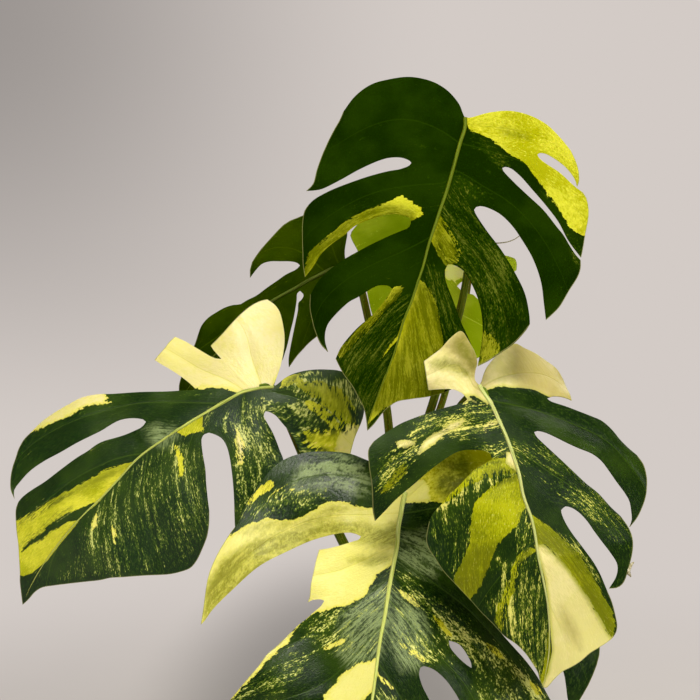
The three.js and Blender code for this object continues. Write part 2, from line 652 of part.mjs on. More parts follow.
function sheetNormals({ vertices, triangles }) {
  const normals = vertices.map(() => new THREE.Vector3());
  const side = new THREE.Vector3();
  const other = new THREE.Vector3();
  for (const [a, b, c] of triangles) {
    side.subVectors(vertices[b], vertices[a]);
    other.subVectors(vertices[c], vertices[a]);
    const face = side.clone().cross(other);
    normals[a].add(face);
    normals[b].add(face);
    normals[c].add(face);
  }
  return normals.map((n) => n.normalize());
}

// Thickens a sheet evenly about its middle, with the same triangles on both faces.
function thicken(sheet, thickness) {
  const { vertices, triangles } = sheet;
  const normals = sheetNormals(sheet);
  const count = vertices.length;
  const points = [];
  for (const sign of [0.5, -0.5]) {
    vertices.forEach((p, i) => points.push(p.clone().addScaledVector(normals[i], sign * thickness)));
  }
  const faces = [];
  const open = new Map();
  for (const [a, b, c] of triangles) {
    faces.push([a, b, c], [a + count, c + count, b + count]);
    for (const [p, q] of [[a, b], [b, c], [c, a]]) {
      if (open.has(`${q},${p}`)) open.delete(`${q},${p}`);
      else open.set(`${p},${q}`, [p, q]);
    }
  }
  for (const [p, q] of open.values()) {
    faces.push([q, p, p + count], [q, p + count, q + count]);
  }
  return geometryFrom(points, faces);
}

function geometryFrom(points, faces) {
  const geometry = new THREE.BufferGeometry();
  geometry.setAttribute(
    'position',
    new THREE.Float32BufferAttribute(points.flatMap((p) => [p.x, p.y, p.z]), 3),
  );
  geometry.setIndex(faces.flat());
  return geometry;
}

// Joins and cuts
function welded(source) {
  const bare = source.clone();
  bare.deleteAttribute('normal');
  bare.deleteAttribute('uv');
  const merged = mergeVertices(bare, 1e-4);
  const kept = [];
  const index = merged.index.array;
  for (let i = 0; i < index.length; i += 3) {
    const [a, b, c] = [index[i], index[i + 1], index[i + 2]];
    if (a !== b && b !== c && c !== a) kept.push(a, b, c);
  }
  merged.setIndex(kept);
  return merged;
}

function toManifold(geometry) {
  const merged = welded(geometry);
  return new wasm.Manifold(new wasm.Mesh({
    numProp: 3,
    vertProperties: new Float32Array(merged.attributes.position.array),
    triVerts: new Uint32Array(merged.index.array),
  }));
}

function fromManifold(solid) {
  const mesh = solid.getMesh();
  const geometry = new THREE.BufferGeometry();
  geometry.setAttribute('position', new THREE.Float32BufferAttribute(mesh.vertProperties, 3));
  geometry.setIndex(Array.from(mesh.triVerts));
  return geometry;
}

function largestBody(solid) {
  return solid.decompose().sort((a, b) => b.volume() - a.volume())[0];
}

// Round stalks
// A closed tube through points with a radius given along its length.
function stalk(points, radiusAt, rings, sides) {
  const curve = new THREE.CatmullRomCurve3(points, false, 'centripetal');
  const frames = curve.computeFrenetFrames(rings, false);
  const vertices = [];
  const faces = [];
  for (let i = 0; i <= rings; i += 1) {
    const share = i / rings;
    const centre = curve.getPointAt(share);
    for (let j = 0; j < sides; j += 1) {
      const turn = (2 * Math.PI * j) / sides;
      const radius = radiusAt(share, turn);
      vertices.push(centre.clone()
        .addScaledVector(frames.normals[i], radius * Math.cos(turn))
        .addScaledVector(frames.binormals[i], radius * Math.sin(turn)));
    }
  }
  for (let i = 0; i < rings; i += 1) {
    for (let j = 0; j < sides; j += 1) {
      const a = i * sides + j;
      const b = i * sides + ((j + 1) % sides);
      faces.push([a, b, b + sides], [a, b + sides, a + sides]);
    }
  }
  for (const [ring, at, flip] of [[0, 0, true], [rings, 1, false]]) {
    const hub = vertices.length;
    vertices.push(curve.getPointAt(at));
    for (let j = 0; j < sides; j += 1) {
      const a = ring * sides + j;
      const b = ring * sides + ((j + 1) % sides);
      faces.push(flip ? [hub, b, a] : [hub, a, b]);
    }
  }
  return geometryFrom(vertices, faces);
}

// The cane
const CANE_PATH = [
  [0, 0, SOIL_HOLE_FLOOR + SEAT_GAP], [0, 0, 170], [0, 0, 205], [-3, 1, 235], [-7, 2, 265],
  [-6, 1, 300], [-3, 0, CANE_TOP],
].map((p) => new THREE.Vector3(...p));
const CANE_NODES = [0.38, 0.52, 0.66, 0.79, 0.91];

function caneRadius(share, grow) {
  const scar = CANE_NODES.reduce((sum, n) => sum + Math.exp(-(((share - n) / 0.016) ** 2)), 0);
  const taper = share < 0.35 ? 0 : (share - 0.35) / 0.65;
  return CANE_RADIUS + (CANE_TOP_RADIUS - CANE_RADIUS) * taper + 1.2 * scar + grow;
}

// Aerial roots: where each leaves the cane and where its end lies near the soil.
const AERIAL_ROOTS = [
  { height: 262, turn: 250, reach: 46, drop: 1.2, radius: 2.6 },
  { height: 240, turn: 20, reach: 58, drop: 1.2, radius: 2.4 },
  { height: 282, turn: 140, reach: 40, drop: 40, radius: 2.2 },
  { height: 250, turn: 310, reach: 70, drop: 1.2, radius: 2.5 },
];

function aerialRoot({ height, turn, reach, drop, radius }) {
  const heading = THREE.MathUtils.degToRad(turn);
  const out = (r, z) => new THREE.Vector3(r * Math.cos(heading) - 3, r * Math.sin(heading) + 1, z);
  const low = SOIL_TOP + 3 + radius + drop;
  const path = [out(2, height + 2), out(16, height - 2), out(0.6 * reach, height - 16),
    out(0.92 * reach, (height + low) / 2 - 4), out(reach, low)];
  return stalk(path, (share) => radius * (1 - 0.45 * share), 7, 5);
}

const caneSolid = AERIAL_ROOTS.reduce(
  (solid, root) => solid.add(toManifold(aerialRoot(root))),
  toManifold(stalk(CANE_PATH, (share) => caneRadius(share, 0), CANE_RINGS, CANE_SIDES)),
);
const aboveCane = CANE_PATH[CANE_PATH.length - 1].clone().setZ(CANE_TOP + SEAT_GAP);
const caneClearance = toManifold(stalk(
  [...CANE_PATH.slice(0, -1), aboveCane],
  (share) => caneRadius(share, SEAT_GAP),
  CANE_RINGS,
  CANE_SIDES,
));

// Leaf stalks
// Each runs from the cane's middle at `height` through points on the sheet to the blade.
const PETIOLES = {
  petiole_top: {
    leaf: LEAF_TOP,
    height: 318,
    turn: 0,
    leave: 0,
    foot: 6.2,
    head: 3.1,
    path: [[404, 690, 0], [405, 600, 0], [408, 520, -3], [416, 460, -6], [435, 396, -9],
      [450, 345, -10], [460, 310, -10], [466.8, 275, -8], [470, 220, -4], [469, 165, -6]],
  },
  petiole_right: {
    leaf: LEAF_RIGHT,
    height: 292,
    turn: 322,
    leave: 17,
    foot: 6.2,
    head: 3.4,
    path: [[420, 690, -20], [423, 620, -34], [424, 540, -54], [430, 475, -72],
      [440, 442, -80], [452, 420, -105], [465, 401, -136]],
  },
  petiole_front: {
    leaf: LEAF_FRONT,
    height: 278,
    turn: 262,
    leave: 17,
    foot: 6.2,
    head: 3.6,
    path: [[402, 690, -42], [400, 640, -66], [400, 580, -88], [403, 530, -104]],
  },
  petiole_left: {
    leaf: LEAF_LEFT,
    height: 262,
    turn: 190,
    leave: 17,
    foot: 6.6,
    head: 4.2,
    path: [[384, 690, -6], [374, 620, -10], [362, 580, -10], [342, 540, -10], [318, 490, -12],
      [292, 430, -14], [279, 400, -18]],
  },
  petiole_back: {
    leaf: LEAF_BACK,
    height: 285,
    turn: 115,
    leave: 17,
    foot: 6.4,
    head: 3.9,
    path: [[396, 690, 26], [394, 600, 30], [393, 520, 36], [389, 430, 42], [382, 380, 50],
      [368, 318, 60], [362, 292, 64], [357, 275, 66]],
  },
  petiole_young: {
    leaf: LEAF_YOUNG,
    height: 300,
    turn: 48,
    leave: 16,
    foot: 5.4,
    head: 2.9,
    path: [[415, 690, 22], [416, 600, 28], [420, 520, 34], [430, 440, 40], [444.5, 395, 45],
      [458, 345, 50], [466, 300, 50], [471, 255, 46]],
  },
};

const BACKWARD = new THREE.Vector3(0, 1, 0);

// Two points behind the midrib's foot, where the head of the stalk lies against the blade.
function seatOf(leaf, radius) {
  const midrib = midribOf(leaf);
  const [a, b, c] = [0.012, 0.04, 0.07].map((share) => {
    const [x, y] = midrib.at(share);
    return fromSheet(x, y, graded(leaf.depth, share));
  });
  const run = c.clone().sub(a).normalize();
  const behind = BACKWARD.clone().addScaledVector(run, -BACKWARD.dot(run)).normalize();
  const out = radius + BLADE_THICKNESS / 2 - 0.3;
  return [a, b].map((p) => p.clone().addScaledVector(behind, out));
}

function caneMiddle(height) {
  const caneCurve = new THREE.CatmullRomCurve3(CANE_PATH, false, 'centripetal');
  return caneCurve.getPoints(200).reduce((best, p) => (
    Math.abs(p.z - height) < Math.abs(best.z - height) ? p : best));
}

// Where the sheath of a stalk stands clear of the cane.
function leavingPoint(height, turn, distance) {
  const heading = THREE.MathUtils.degToRad(turn);
  const side = new THREE.Vector3(Math.cos(heading), Math.sin(heading), 0);
  return caneMiddle(height + 24).clone().addScaledVector(side, distance);
}

function petiole({ leaf, height, turn, leave, foot, head, path }) {
  const points = [
    caneMiddle(height),
    ...(leave > 0 ? [leavingPoint(height, turn, leave)] : []),
    ...path.map(([x, y, depth]) => fromSheet(x, y, depth)),
    ...seatOf(leaf, head),
  ];
  const radiusAt = (share) => head + (foot - head) * (1 - share) ** 1.3;
  const blade = toManifold(thicken(bladeSheet(leaf), BLADE_THICKNESS + 2 * SEAT_GAP));
  const tube = toManifold(stalk(points, radiusAt, PETIOLE_RINGS, PETIOLE_SIDES));
  return fromManifold(largestBody(tube.subtract(caneClearance).subtract(blade)));
}

// Pot and soil
function potWall(height, inset) {
  const share = height / POT_HEIGHT;
  return POT_FOOT_RADIUS + (POT_TOP_RADIUS - POT_FOOT_RADIUS) * share ** 0.8 - inset;
}

function potSolid() {
  const profile = [[0, 0], [POT_FOOT_RADIUS - 3, 0], [POT_FOOT_RADIUS, 3]];
  for (const height of [40, 100, 160, POT_HEIGHT - 4]) {
    profile.push([potWall(height, 0), height]);
  }
  profile.push([potWall(POT_HEIGHT, RIM_BEVEL), POT_HEIGHT]);
  profile.push([potWall(POT_HEIGHT, POT_WALL - RIM_BEVEL), POT_HEIGHT]);
  for (const height of [POT_HEIGHT - 4, 160, 100, 40, POT_FLOOR]) {
    profile.push([potWall(height, POT_WALL), height]);
  }
  profile.push([0, POT_FLOOR]);
  let solid = toManifold(
    new THREE.LatheGeometry(profile.map(([r, z]) => new THREE.Vector2(r, z)), POT_SIDES)
      .rotateX(Math.PI / 2),
  );
  for (let i = 0; i < 3; i += 1) {
    const turn = (2 * Math.PI * i) / 3 + 0.5;
    const drill = new THREE.CylinderGeometry(DRAIN_RADIUS, DRAIN_RADIUS, 4 * POT_FLOOR, 16)
      .rotateX(Math.PI / 2)
      .translate(DRAIN_RING * Math.cos(turn), DRAIN_RING * Math.sin(turn), 0);
    solid = solid.subtract(toManifold(drill));
  }
  return fromManifold(solid);
}

function soilSolid() {
  const inset = POT_WALL + SEAT_GAP;
  const holeRadius = CANE_RADIUS + 0.6;
  const profile = [[0, POT_FLOOR + SEAT_GAP]];
  for (const height of [POT_FLOOR + SEAT_GAP, 40, 100, 160, SOIL_TOP - 2]) {
    profile.push([potWall(height, inset), height]);
  }
  for (const radius of [80, 45]) {
    profile.push([radius, SOIL_TOP + 2 * Math.cos((radius / 100) * Math.PI * 0.5)]);
  }
  profile.push([holeRadius, SOIL_TOP + 2], [holeRadius, SOIL_HOLE_FLOOR], [0, SOIL_HOLE_FLOOR]);
  return welded(
    new THREE.LatheGeometry(profile.map(([r, z]) => new THREE.Vector2(r, z)), POT_SIDES)
      .rotateX(Math.PI / 2),
  );
}

// The assembly
const plant = new THREE.Group();

function place(name, geometry, color, roughness) {
  const material = new THREE.MeshStandardMaterial({ color, roughness, metalness: 0 });
  const mesh = new THREE.Mesh(geometry, material);
  mesh.name = name;
  plant.add(mesh);
}

place('pot', potSolid(), 0xb9bcbd, 0.75);
place('soil', soilSolid(), 0x32261c, 0.95);
place('cane', fromManifold(caneSolid), 0x6d7440, 0.7);
for (const [name, spec] of Object.entries(PETIOLES)) place(name, petiole(spec), 0x4c6420, 0.45);
place('leaf_top', thicken(bladeSheet(LEAF_TOP), BLADE_THICKNESS), 0x2f4d14, 0.4);
place('leaf_left', thicken(bladeSheet(LEAF_LEFT), BLADE_THICKNESS), 0x46601f, 0.4);
place('leaf_right', thicken(bladeSheet(LEAF_RIGHT), BLADE_THICKNESS), 0x5c7224, 0.4);
place('leaf_front', thicken(bladeSheet(LEAF_FRONT), BLADE_THICKNESS), 0x51672c, 0.4);
place('leaf_back', thicken(bladeSheet(LEAF_BACK), BLADE_THICKNESS), 0x33451a, 0.45);
place('leaf_young', thicken(bladeSheet(LEAF_YOUNG), BLADE_THICKNESS), 0x9aa62c, 0.4);

export default plant;
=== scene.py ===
import math

import bpy
import numpy as np
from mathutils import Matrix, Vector


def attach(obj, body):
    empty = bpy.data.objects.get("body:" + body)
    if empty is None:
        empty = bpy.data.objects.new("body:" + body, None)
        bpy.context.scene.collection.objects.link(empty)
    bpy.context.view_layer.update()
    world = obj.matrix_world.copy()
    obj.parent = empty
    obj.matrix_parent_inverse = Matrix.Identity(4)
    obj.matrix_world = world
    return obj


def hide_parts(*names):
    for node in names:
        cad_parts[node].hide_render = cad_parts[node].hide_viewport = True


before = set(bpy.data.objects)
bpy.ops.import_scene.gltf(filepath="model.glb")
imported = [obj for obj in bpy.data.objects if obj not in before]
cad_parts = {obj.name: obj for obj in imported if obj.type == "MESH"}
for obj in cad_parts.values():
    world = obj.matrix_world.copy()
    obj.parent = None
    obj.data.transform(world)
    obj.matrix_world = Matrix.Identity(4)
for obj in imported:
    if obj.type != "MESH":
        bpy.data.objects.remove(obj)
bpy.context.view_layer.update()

# Lengths are millimetres unless a name says otherwise. The blades are drawn on one elevation
# sheet, x to the right and y down, one unit to a millimetre at the cane, and seen from EYE,
# which is also where the camera stands.
MILLIMETRE = 0.001
SHEET_CENTRE = 350.0
SHEET_DISTANCE = 1400.0
SHEET_TARGET = np.array([-60.0, 0.0, 715.0])
SHEET_PITCH = math.radians(6)
FORWARD = np.array([0.0, math.cos(SHEET_PITCH), -math.sin(SHEET_PITCH)])
UPWARD = np.array([0.0, math.sin(SHEET_PITCH), math.cos(SHEET_PITCH)])
EYE = SHEET_TARGET - SHEET_DISTANCE * FORWARD
SENSOR_MM = 36.0
CLIP_METRES = (0.05, 200)
SEED = 4809

# The net over a blade: rungs out along a finger, how many of them follow its seam and a hole,
# the step along the midrib, and the share of the midrib over which the point closes. Points
# that agree to one part in MERGE_PARTS of a unit are one.
RUNGS, SEAM_RUNGS, HOLE_RUNGS = 48, 12, 18
STATION_STEP = 3.2
LEAST_CELLS = 12
TIP_RUN = 0.12
NET_PASSES = 70
MERGE_PARTS = 500

# The relief of a blade. Each wave is its length and height. A rise is the distance from the
# midrib at which a form has its full height.
BLADE_THICKNESS = 0.9
FINGER_CUP = 4.5
WAVES = ((130, 2.2), (86, 1.5), (57, 0.9))
WAVE_RISE = 45.0
VEIN_STEP = 62.0
VEIN_TAPER = 0.7
VEIN_SINK, VEIN_WIDTH = 0.9, 2.2
QUILT, QUILT_WIDTH, QUILT_RISE = 1.3, 9.0, 14.0
CREASE_HEIGHT, CREASE_WIDTH = 1.5, 2.4
RIB_RADIUS, RIB_END_RADIUS = 2.6, 0.35
RIB_REACH = 0.995

# What the blades' mesh carries for the material: signed depths into the outlines of each kind,
# at most FAR_OUT, distances from the nearest rib and from the midrib, the place across and
# along the streaks, and the distance from the margin.
# Olive outlines are partly painted shade, tan ones are painted shade and silver ones painted sheen.
KINDS = ("cream", "yellow", "olive", "tan", "marbled", "flecked", "silver")
FIELDS = (*KINDS, "rib", "side", "across", "outward", "edge")
FAR_OUT = 40.0
# A half's slant turns the streaks of its last finger, by this share of it at the finger's
# start and this much more at its end.
SLANT_START, SLANT_GAIN = 0.7, 0.3
# How far from ripening plain green is, and what marbling and sparse flecks add to that.
BARREN, RIPE, HALF_RIPE = 3.0, 2.4, 1.8

# The pot and its soil. The soil's surface is slightly heaped and crumbly, and its body stands
# SEAT_GAP clear of the pot. Crumbs keep CRUMB_MARGIN from the wall, and the share CANE_CLEAR
# of the surface, round the cane, has none.
POT_HEIGHT = 215.0
POT_TOP_RADIUS = 122.0
POT_FOOT_RADIUS = 92.0
POT_WALL = 8.0
POT_FLOOR = 11.0
FOOT_RECESS = 1.5
FOOT_RING = 13.0
EDGE_ROUND, RIM_ROUND = 4.0, 3.6
MARK_INSET = 0.45
DRAIN_RADIUS = 8.0
DRAIN_RING = 45.0
SOIL_TOP = 190.0
SOIL_SINK, SOIL_HEAP, HEAP_RADIUS = 2.5, 3.5, 105.0
SOIL_SHOULDER = 3.0
SOIL_WAVES = ((60, 1.0), (24, 0.8), (11, 0.7), (6, 0.45))
SEAT_GAP = 0.35
CRUMB_MARGIN = 6.0
CANE_CLEAR = 0.035

# The cane, its aerial roots and the leaf stalks. A stalk is widened by a sheath where it leaves
# the cane and by a knee before its blade.
CANE_RADIUS = 15.0
CANE_TOP_RADIUS = 10.0
CANE_NODES = (0.38, 0.52, 0.66, 0.79, 0.91)
CANE_PATH = np.array([(0, 0, 140.35), (0, 0, 170), (0, 0, 205), (-3, 1, 235), (-7, 2, 265),
                      (-6, 1, 300), (-3, 0, 335)], float)
# Aerial roots: height and turn where each leaves the cane, reach, height of its end, radius.
AERIAL_ROOTS = ((262, 250, 46, 190, 2.6), (240, 20, 58, 190, 2.4), (282, 140, 40, 236, 2.2),
                (250, 310, 70, 190, 2.5))
SHEATH_RUN, SHEATH_LIFT, SHEATH_SWELL = 120.0, 24.0, 0.16
KNEE_BACK, KNEE_RUN, KNEE_SWELL = 20.0, 14.0, 0.16
GROOVE = 0.05
# Shares of the midrib: two where the head of a stalk lies on its blade, and one that it aims at.
SEAT_SHARES = np.array([0.012, 0.04, 0.07])
SEAT_SINK = 0.3

# The corners and faces of a ball of twenty triangles
GOLDEN = (1 + math.sqrt(5)) / 2
BALL_POINTS = np.array([
    (-1, GOLDEN, 0), (1, GOLDEN, 0), (-1, -GOLDEN, 0), (1, -GOLDEN, 0),
    (0, -1, GOLDEN), (0, 1, GOLDEN), (0, -1, -GOLDEN), (0, 1, -GOLDEN),
    (GOLDEN, 0, -1), (GOLDEN, 0, 1), (-GOLDEN, 0, -1), (-GOLDEN, 0, 1)]) / math.hypot(1, GOLDEN)
BALL_FACES = [(a, b, c, c) for a, b, c in (
    (0, 11, 5), (0, 5, 1), (0, 1, 7), (0, 7, 10), (0, 10, 11), (1, 5, 9), (5, 11, 4), (11, 10, 2),
    (10, 7, 6), (7, 1, 8), (3, 9, 4), (3, 4, 2), (3, 2, 6), (3, 6, 8), (3, 8, 9), (4, 9, 5),
    (2, 4, 11), (6, 2, 10), (8, 6, 7), (9, 8, 1))]

FLOOR_HALF = 40000.0
# In metres, as the materials take them: the floor is pale near the pot and fades into the
# walls' light between FLOOR_NEAR and FLOOR_FAR, with a soft shadow behind the pot. Seen from
# ROOM_CENTRE, that light is dimmer by SHADE to the upper left.
FLOOR_NEAR, FLOOR_FAR = 0.4, 1.9
ROOM_CENTRE = 0.86
SHADE = 0.5
SHADE_LEFT, SHADE_RIGHT = -0.28, 0.08
SHADE_LOW, SHADE_HIGH = -0.24, 0.14
SHADOW_CENTRE, SHADOW_REACH, SHADOW = (-0.06, 0.9, 0.0), (0.42, 1.3, 1.0), 0.5
# Each lamp: where it stands, its width and height, its watts and its colour.
LAMP_TARGET = (-40, -60, 600)
LAMPS = {
    "key": ((-40, -1150, 2280), (680, 680), 34, (1.0, 0.97, 0.92)),
    "window": ((1680, -1610, 1780), (420, 420), 8, (1.0, 0.98, 0.95)),
    "panel": ((1360, -2220, 2130), (2300, 400), 34, (1.0, 0.98, 0.95)),
    "glow": ((700, 1500, 1700), (1100, 1100), 20, (1.0, 0.97, 0.9)),
}
SURROUND_STRENGTH = 0.17

# The drawn blades. A midrib runs from the stalk to the point. Depths are (share of the midrib,
# y in space), nearer is lower. Each half of a blade leans and curls back by its distance from
# the midrib. Its cuts part it into fingers: a seam leads in from the midrib, near and far are
# the cut's two banks, and past a hole a closing seam goes on. The shoulder and the margins
# are its outer edge. Creases are raised lines, and lifts move single fingers in depth.
LEAF_TOP = {
    "midrib": [(465, 118), (465, 127), (460, 143.6), (453.4, 167.6), (447.4, 189), (442, 204.6),
        (436.5, 221), (428.8, 244.6), (422.7, 267.7), (418, 281.5), (412, 300), (404, 320), (396.5, 346),
        (388.8, 367.7), (381, 387.7), (372, 412), (367.3, 430.8)],
    "depth": [(0, -50), (0.25, -80), (0.5, -110), (0.75, -138), (1, -160)],
    "halves": [{
        "lean": [(0, 0.12), (1, 0.12)],
        "curl": [(0, 0.0007), (1, 0.0007)],
        "shoulder": [(463, 114), (459.5, 105), (451, 94), (442.6, 87), (430.6, 81), (410, 77),
            (388, 79.7), (370.6, 85), (355, 96.6), (343.4, 112)],
        "cuts": [{
            "at": 0.167,
            "seam": [(430, 163.5), (411.5, 163)],
            "near": [(410, 161), (405.5, 158.7), (400, 157.4), (390, 157.6), (380.5, 160), (360, 169),
                (340, 180), (321.6, 189), (315, 190.3), (306.3, 191)],
            "far": [(409, 166), (404, 168), (399, 169.6), (390, 171), (370.6, 176), (350, 183),
                (330, 191), (314, 200), (308, 206)],
        }, {
            "at": 0.31,
            "seam": [(424, 218), (411, 220)],
            "near": [(409, 217.5), (399, 214.3), (388, 214.3), (377, 217), (355, 226), (344.5, 235),
                (333, 243), (321, 254), (313, 267), (305, 277)],
            "far": [(411, 222), (409, 227.4), (400, 231.5), (387, 237), (361, 250), (336.5, 264.6),
                (319.6, 280), (310.4, 295)],
        }, {
            "at": 0.485,
            "seam": [(405, 282), (392, 288.5)],
            "near": [(388.8, 286), (384, 285), (376.5, 286), (358, 297), (348.8, 302), (332, 318.5),
                (327, 326), (325, 334), (325, 341.5), (328, 352)],
            "far": [(390.4, 292), (387, 297.7), (373.5, 314), (356.5, 329), (341, 347.7), (335.8, 359)],
        }],
        "margins": [
            [(339.6, 120.6), (333.6, 131), (324.3, 150), (317, 169.6), (313, 184)],
            [(304.7, 211), (302.9, 219), (302.2, 235), (302.7, 254), (303, 265)],
            [(310, 307.7), (312, 320), (316, 334), (321, 344.6)],
            [(339.6, 367), (344, 375), (352, 386), (358, 397), (363.5, 407.7), (366, 418.5)],
        ],
    }, {
        "lean": [(0, 0.1), (0.2, -0.1), (0.35, 0), (1, 0.05)],
        "curl": [(0, 0.0006), (1, 0.0006)],
        "lifts": [0, 0, 0, -34, 0],
        "shoulder": [(472, 117.4), (480, 115), (490, 112.5), (509.6, 111), (528, 115), (545.5, 124),
            (559.7, 137.6), (570.6, 151)],
        "cuts": [{
            "at": 0.05,
            "seam": [(485, 140), (510, 146), (537.3, 154.5)],
            "near": [(540, 153), (544.4, 153.4), (552, 157), (566, 167.6), (575, 180), (577, 187)],
            "far": [(539, 158), (544.4, 162.7), (559.7, 173), (571, 183.5), (577.8, 189.5)],
        }, {
            "at": 0.11,
            "seam": [(482, 158), (502, 168)],
            "near": [(505, 166.7), (510.6, 168), (520.5, 176), (532.4, 189.4), (545.5, 204.6),
                (558.6, 222), (568.4, 240.6), (581, 257.5)],
            "far": [(502.5, 170.2), (513, 181.7), (528, 196), (543, 210), (556.5, 227), (563, 235),
                (569.5, 246), (575, 254.5), (580.4, 260.5)],
        }, {
            "at": 0.19,
            "seam": [(464, 196), (474, 210)],
            "near": [(474.7, 208), (478, 206.3), (483.4, 206.3), (498.7, 213), (511.7, 225),
                (522.6, 240.6), (533, 258.8), (541, 282), (544, 304), (546, 320)],
            "far": [(475, 213), (486.7, 231), (501, 250), (514.6, 272.7), (525, 294.6), (529.4, 317.7),
                (529.6, 324.6)],
        }, {
            "at": 0.375,
            "seam": [(440, 255), (445, 270)],
            "near": [(445.4, 268), (447.7, 264.6), (452.3, 264.3), (462.7, 270), (474, 289),
                (480.6, 308.5), (482.7, 331.5), (479.4, 357), (477.7, 366)],
            "far": [(445.4, 279.6), (453.5, 301.5), (461, 322), (469.6, 341), (476, 362), (474, 371)],
        }],
        "margins": [
            [(575, 160), (577.7, 167.6), (579, 175), (579, 181.7)],
            [(581, 191), (585.8, 197), (588.6, 213), (585, 235), (582.6, 250)],
            [(580.4, 268), (578, 276), (568.8, 291), (559.6, 306.7), (553.8, 313)],
            [(526, 330), (513.5, 343.6), (496, 355.8), (487, 361.5)],
            [(465, 380), (448, 391), (429, 396.6), (412, 399), (396.5, 402), (387, 408.5), (381, 415),
             (373.5, 424.6)],
        ],
    }],
}

LEAF_RIGHT = {
    "midrib": [(479, 385.5), (486.2, 396.8), (492.3, 406), (498.5, 419.4), (503.6, 430.6), (508.7, 443),
        (513.8, 457.3), (519, 473.7), (523.6, 496.5), (530.9, 516.7), (534.6, 532), (538.5, 557.7),
        (543.6, 582), (547.4, 602.6), (549.4, 628), (549.4, 641), (548, 660), (544.9, 677), (543.3, 687)],
    "depth": [(0, -150), (0.3, -185), (0.6, -208), (1, -205)],
    "halves": [{
        "lean": [(0, -0.35), (0.05, -0.2), (0.225, -0.02), (0.5, 0.1), (1, 0)],
        "curl": [(0, 0), (0.225, 0), (0.5, 0.0008), (1, 0.0008)],
        "slant": 1.7,
        "shoulder": [(474.7, 380), (474.7, 373.2), (477, 363), (474.9, 352.7), (468.7, 341.4),
            (461, 331.2), (450.3, 338.3), (441, 348.6), (431.8, 355.8), (423.8, 361.6)],
        "cuts": [{
            "at": 0.05,
            "seam": [(478, 400), (467.4, 399)],
            "near": [(462.6, 393.7), (456.4, 390.4), (450.3, 389.1), (440, 389.1), (428.2, 389.9)],
            "far": [(464.1, 402.4), (458.5, 404.2), (442, 408.6), (420.5, 415.8), (400, 424),
                (390.8, 429.6), (380.5, 436.3), (373.3, 441.9)],
        }, {
            "at": 0.225,
            "seam": [(500, 455), (492.3, 458.8)],
            "near": [(491.3, 454.7), (487.2, 451.7), (482, 450.3), (470.8, 449.9), (461.5, 450.6),
                (452.3, 454.4), (431.8, 468.6), (413.3, 484.5), (396, 499), (384, 511.5), (375, 520.7)],
            "far": [(487.2, 462.4), (481, 466), (473.8, 470.6), (467.7, 476.8), (458.7, 486.2),
                (449.8, 494.3), (441, 504.7), (433.6, 512.8), (429.2, 521.6)],
        }],
        "margins": [
            [(425.1, 369.1), (426.7, 379.4)],
            [(368.7, 448.6), (368, 454.2), (368.7, 461.4), (369.2, 468.6), (371.3, 481.9), (372, 490),
             (373, 511.5)],
            [(427, 532), (426.2, 540.8), (429.2, 549.6), (433.6, 556.3), (443.9, 571.8), (454.2, 582.8),
             (469, 598.3), (480.8, 611.6), (492.6, 623.4), (504.4, 635.9), (516.2, 644), (525, 652.9),
             (532.4, 663.2), (538.3, 673.5), (539.8, 680.2)],
        ],
    }, {
        "lean": [(0, 1.3), (0.02, 0.6), (0.13, 0.3), (0.29, 0.15), (1, 0.15)],
        "curl": [(0, -0.006), (0.02, -0.0015), (0.13, -0.0002), (0.29, 0.0004), (1, 0.001)],
        "shoulder": [(481, 382.6), (485.8, 369.2), (495, 357), (505, 348.5), (515, 343.7), (523.6, 347.9),
            (535.8, 354), (545.5, 360.7), (556.5, 369.2), (562.6, 379)],
        "cuts": [{
            "at": 0.02,
            "seam": [(494, 389.5), (510, 390), (524, 391), (536, 394), (546.7, 398.5)],
            "near": [(552.8, 396.4), (560, 396.6), (567.4, 398.5), (571.5, 400.5)],
            "far": [(550, 401.3), (555.3, 403.3), (565, 406.4), (579.6, 411.9), (591.8, 416.7),
                (601.5, 421), (611.3, 429.5), (619.8, 439.9), (628.3, 448.4), (636.9, 455.7)],
        }, {
            "at": 0.13,
            "seam": [(516, 427), (533.9, 432)],
            "near": [(537, 430.7), (544.3, 432), (555.3, 436.8), (567.4, 442.9), (579.6, 448.4),
                (591.8, 453.3), (601.5, 460.6), (608.9, 470.3), (617.4, 482.5), (624.7, 492.3),
                (629.6, 500.8), (631.4, 510.5), (632, 520.3), (629.6, 527)],
            "far": [(535.8, 436.2), (543, 443.5), (562.6, 461.8), (573.5, 472.2), (585.7, 483.7),
                (597.9, 493.5), (610, 506.9), (620.5, 516.7)],
        }, {
            "at": 0.29,
            "seam": [(530, 483), (545, 497), (560.9, 510.3)],
            "near": [(565.4, 506.4), (571.8, 507.7), (579.5, 512.8), (587.2, 521), (594.9, 532),
                (602.6, 542.3), (610.3, 552.6), (616.7, 562.8), (617.7, 569.2), (616, 577), (612, 584),
                (609, 588.5)],
            "far": [(561.5, 514), (565.4, 523), (571.8, 533.3), (579.5, 543.6), (587.2, 553.8),
                (593.6, 562.8), (600, 574.4), (604.6, 585.5), (606.8, 591)],
        }],
        "margins": [
            [(566.2, 387.5), (569.9, 394.8)],
            [(643, 464.2), (646, 474), (646.9, 485), (645.4, 497), (641.7, 508), (636.9, 517.8)],
            [(628.2, 527.6), (632, 537.2), (632.7, 548.7), (629.5, 564), (623, 583.3), (616.7, 587.8)],
            [(611.5, 601.3), (614.7, 612.8), (616.9, 623), (616.4, 630.8), (612.8, 637.2), (607.7, 641.7),
             (600, 646.8), (589.7, 653.2), (580.8, 660.9), (571.8, 666.7), (562.8, 671.2), (555, 678.2),
             (546, 687.8)],
        ],
    }],
}

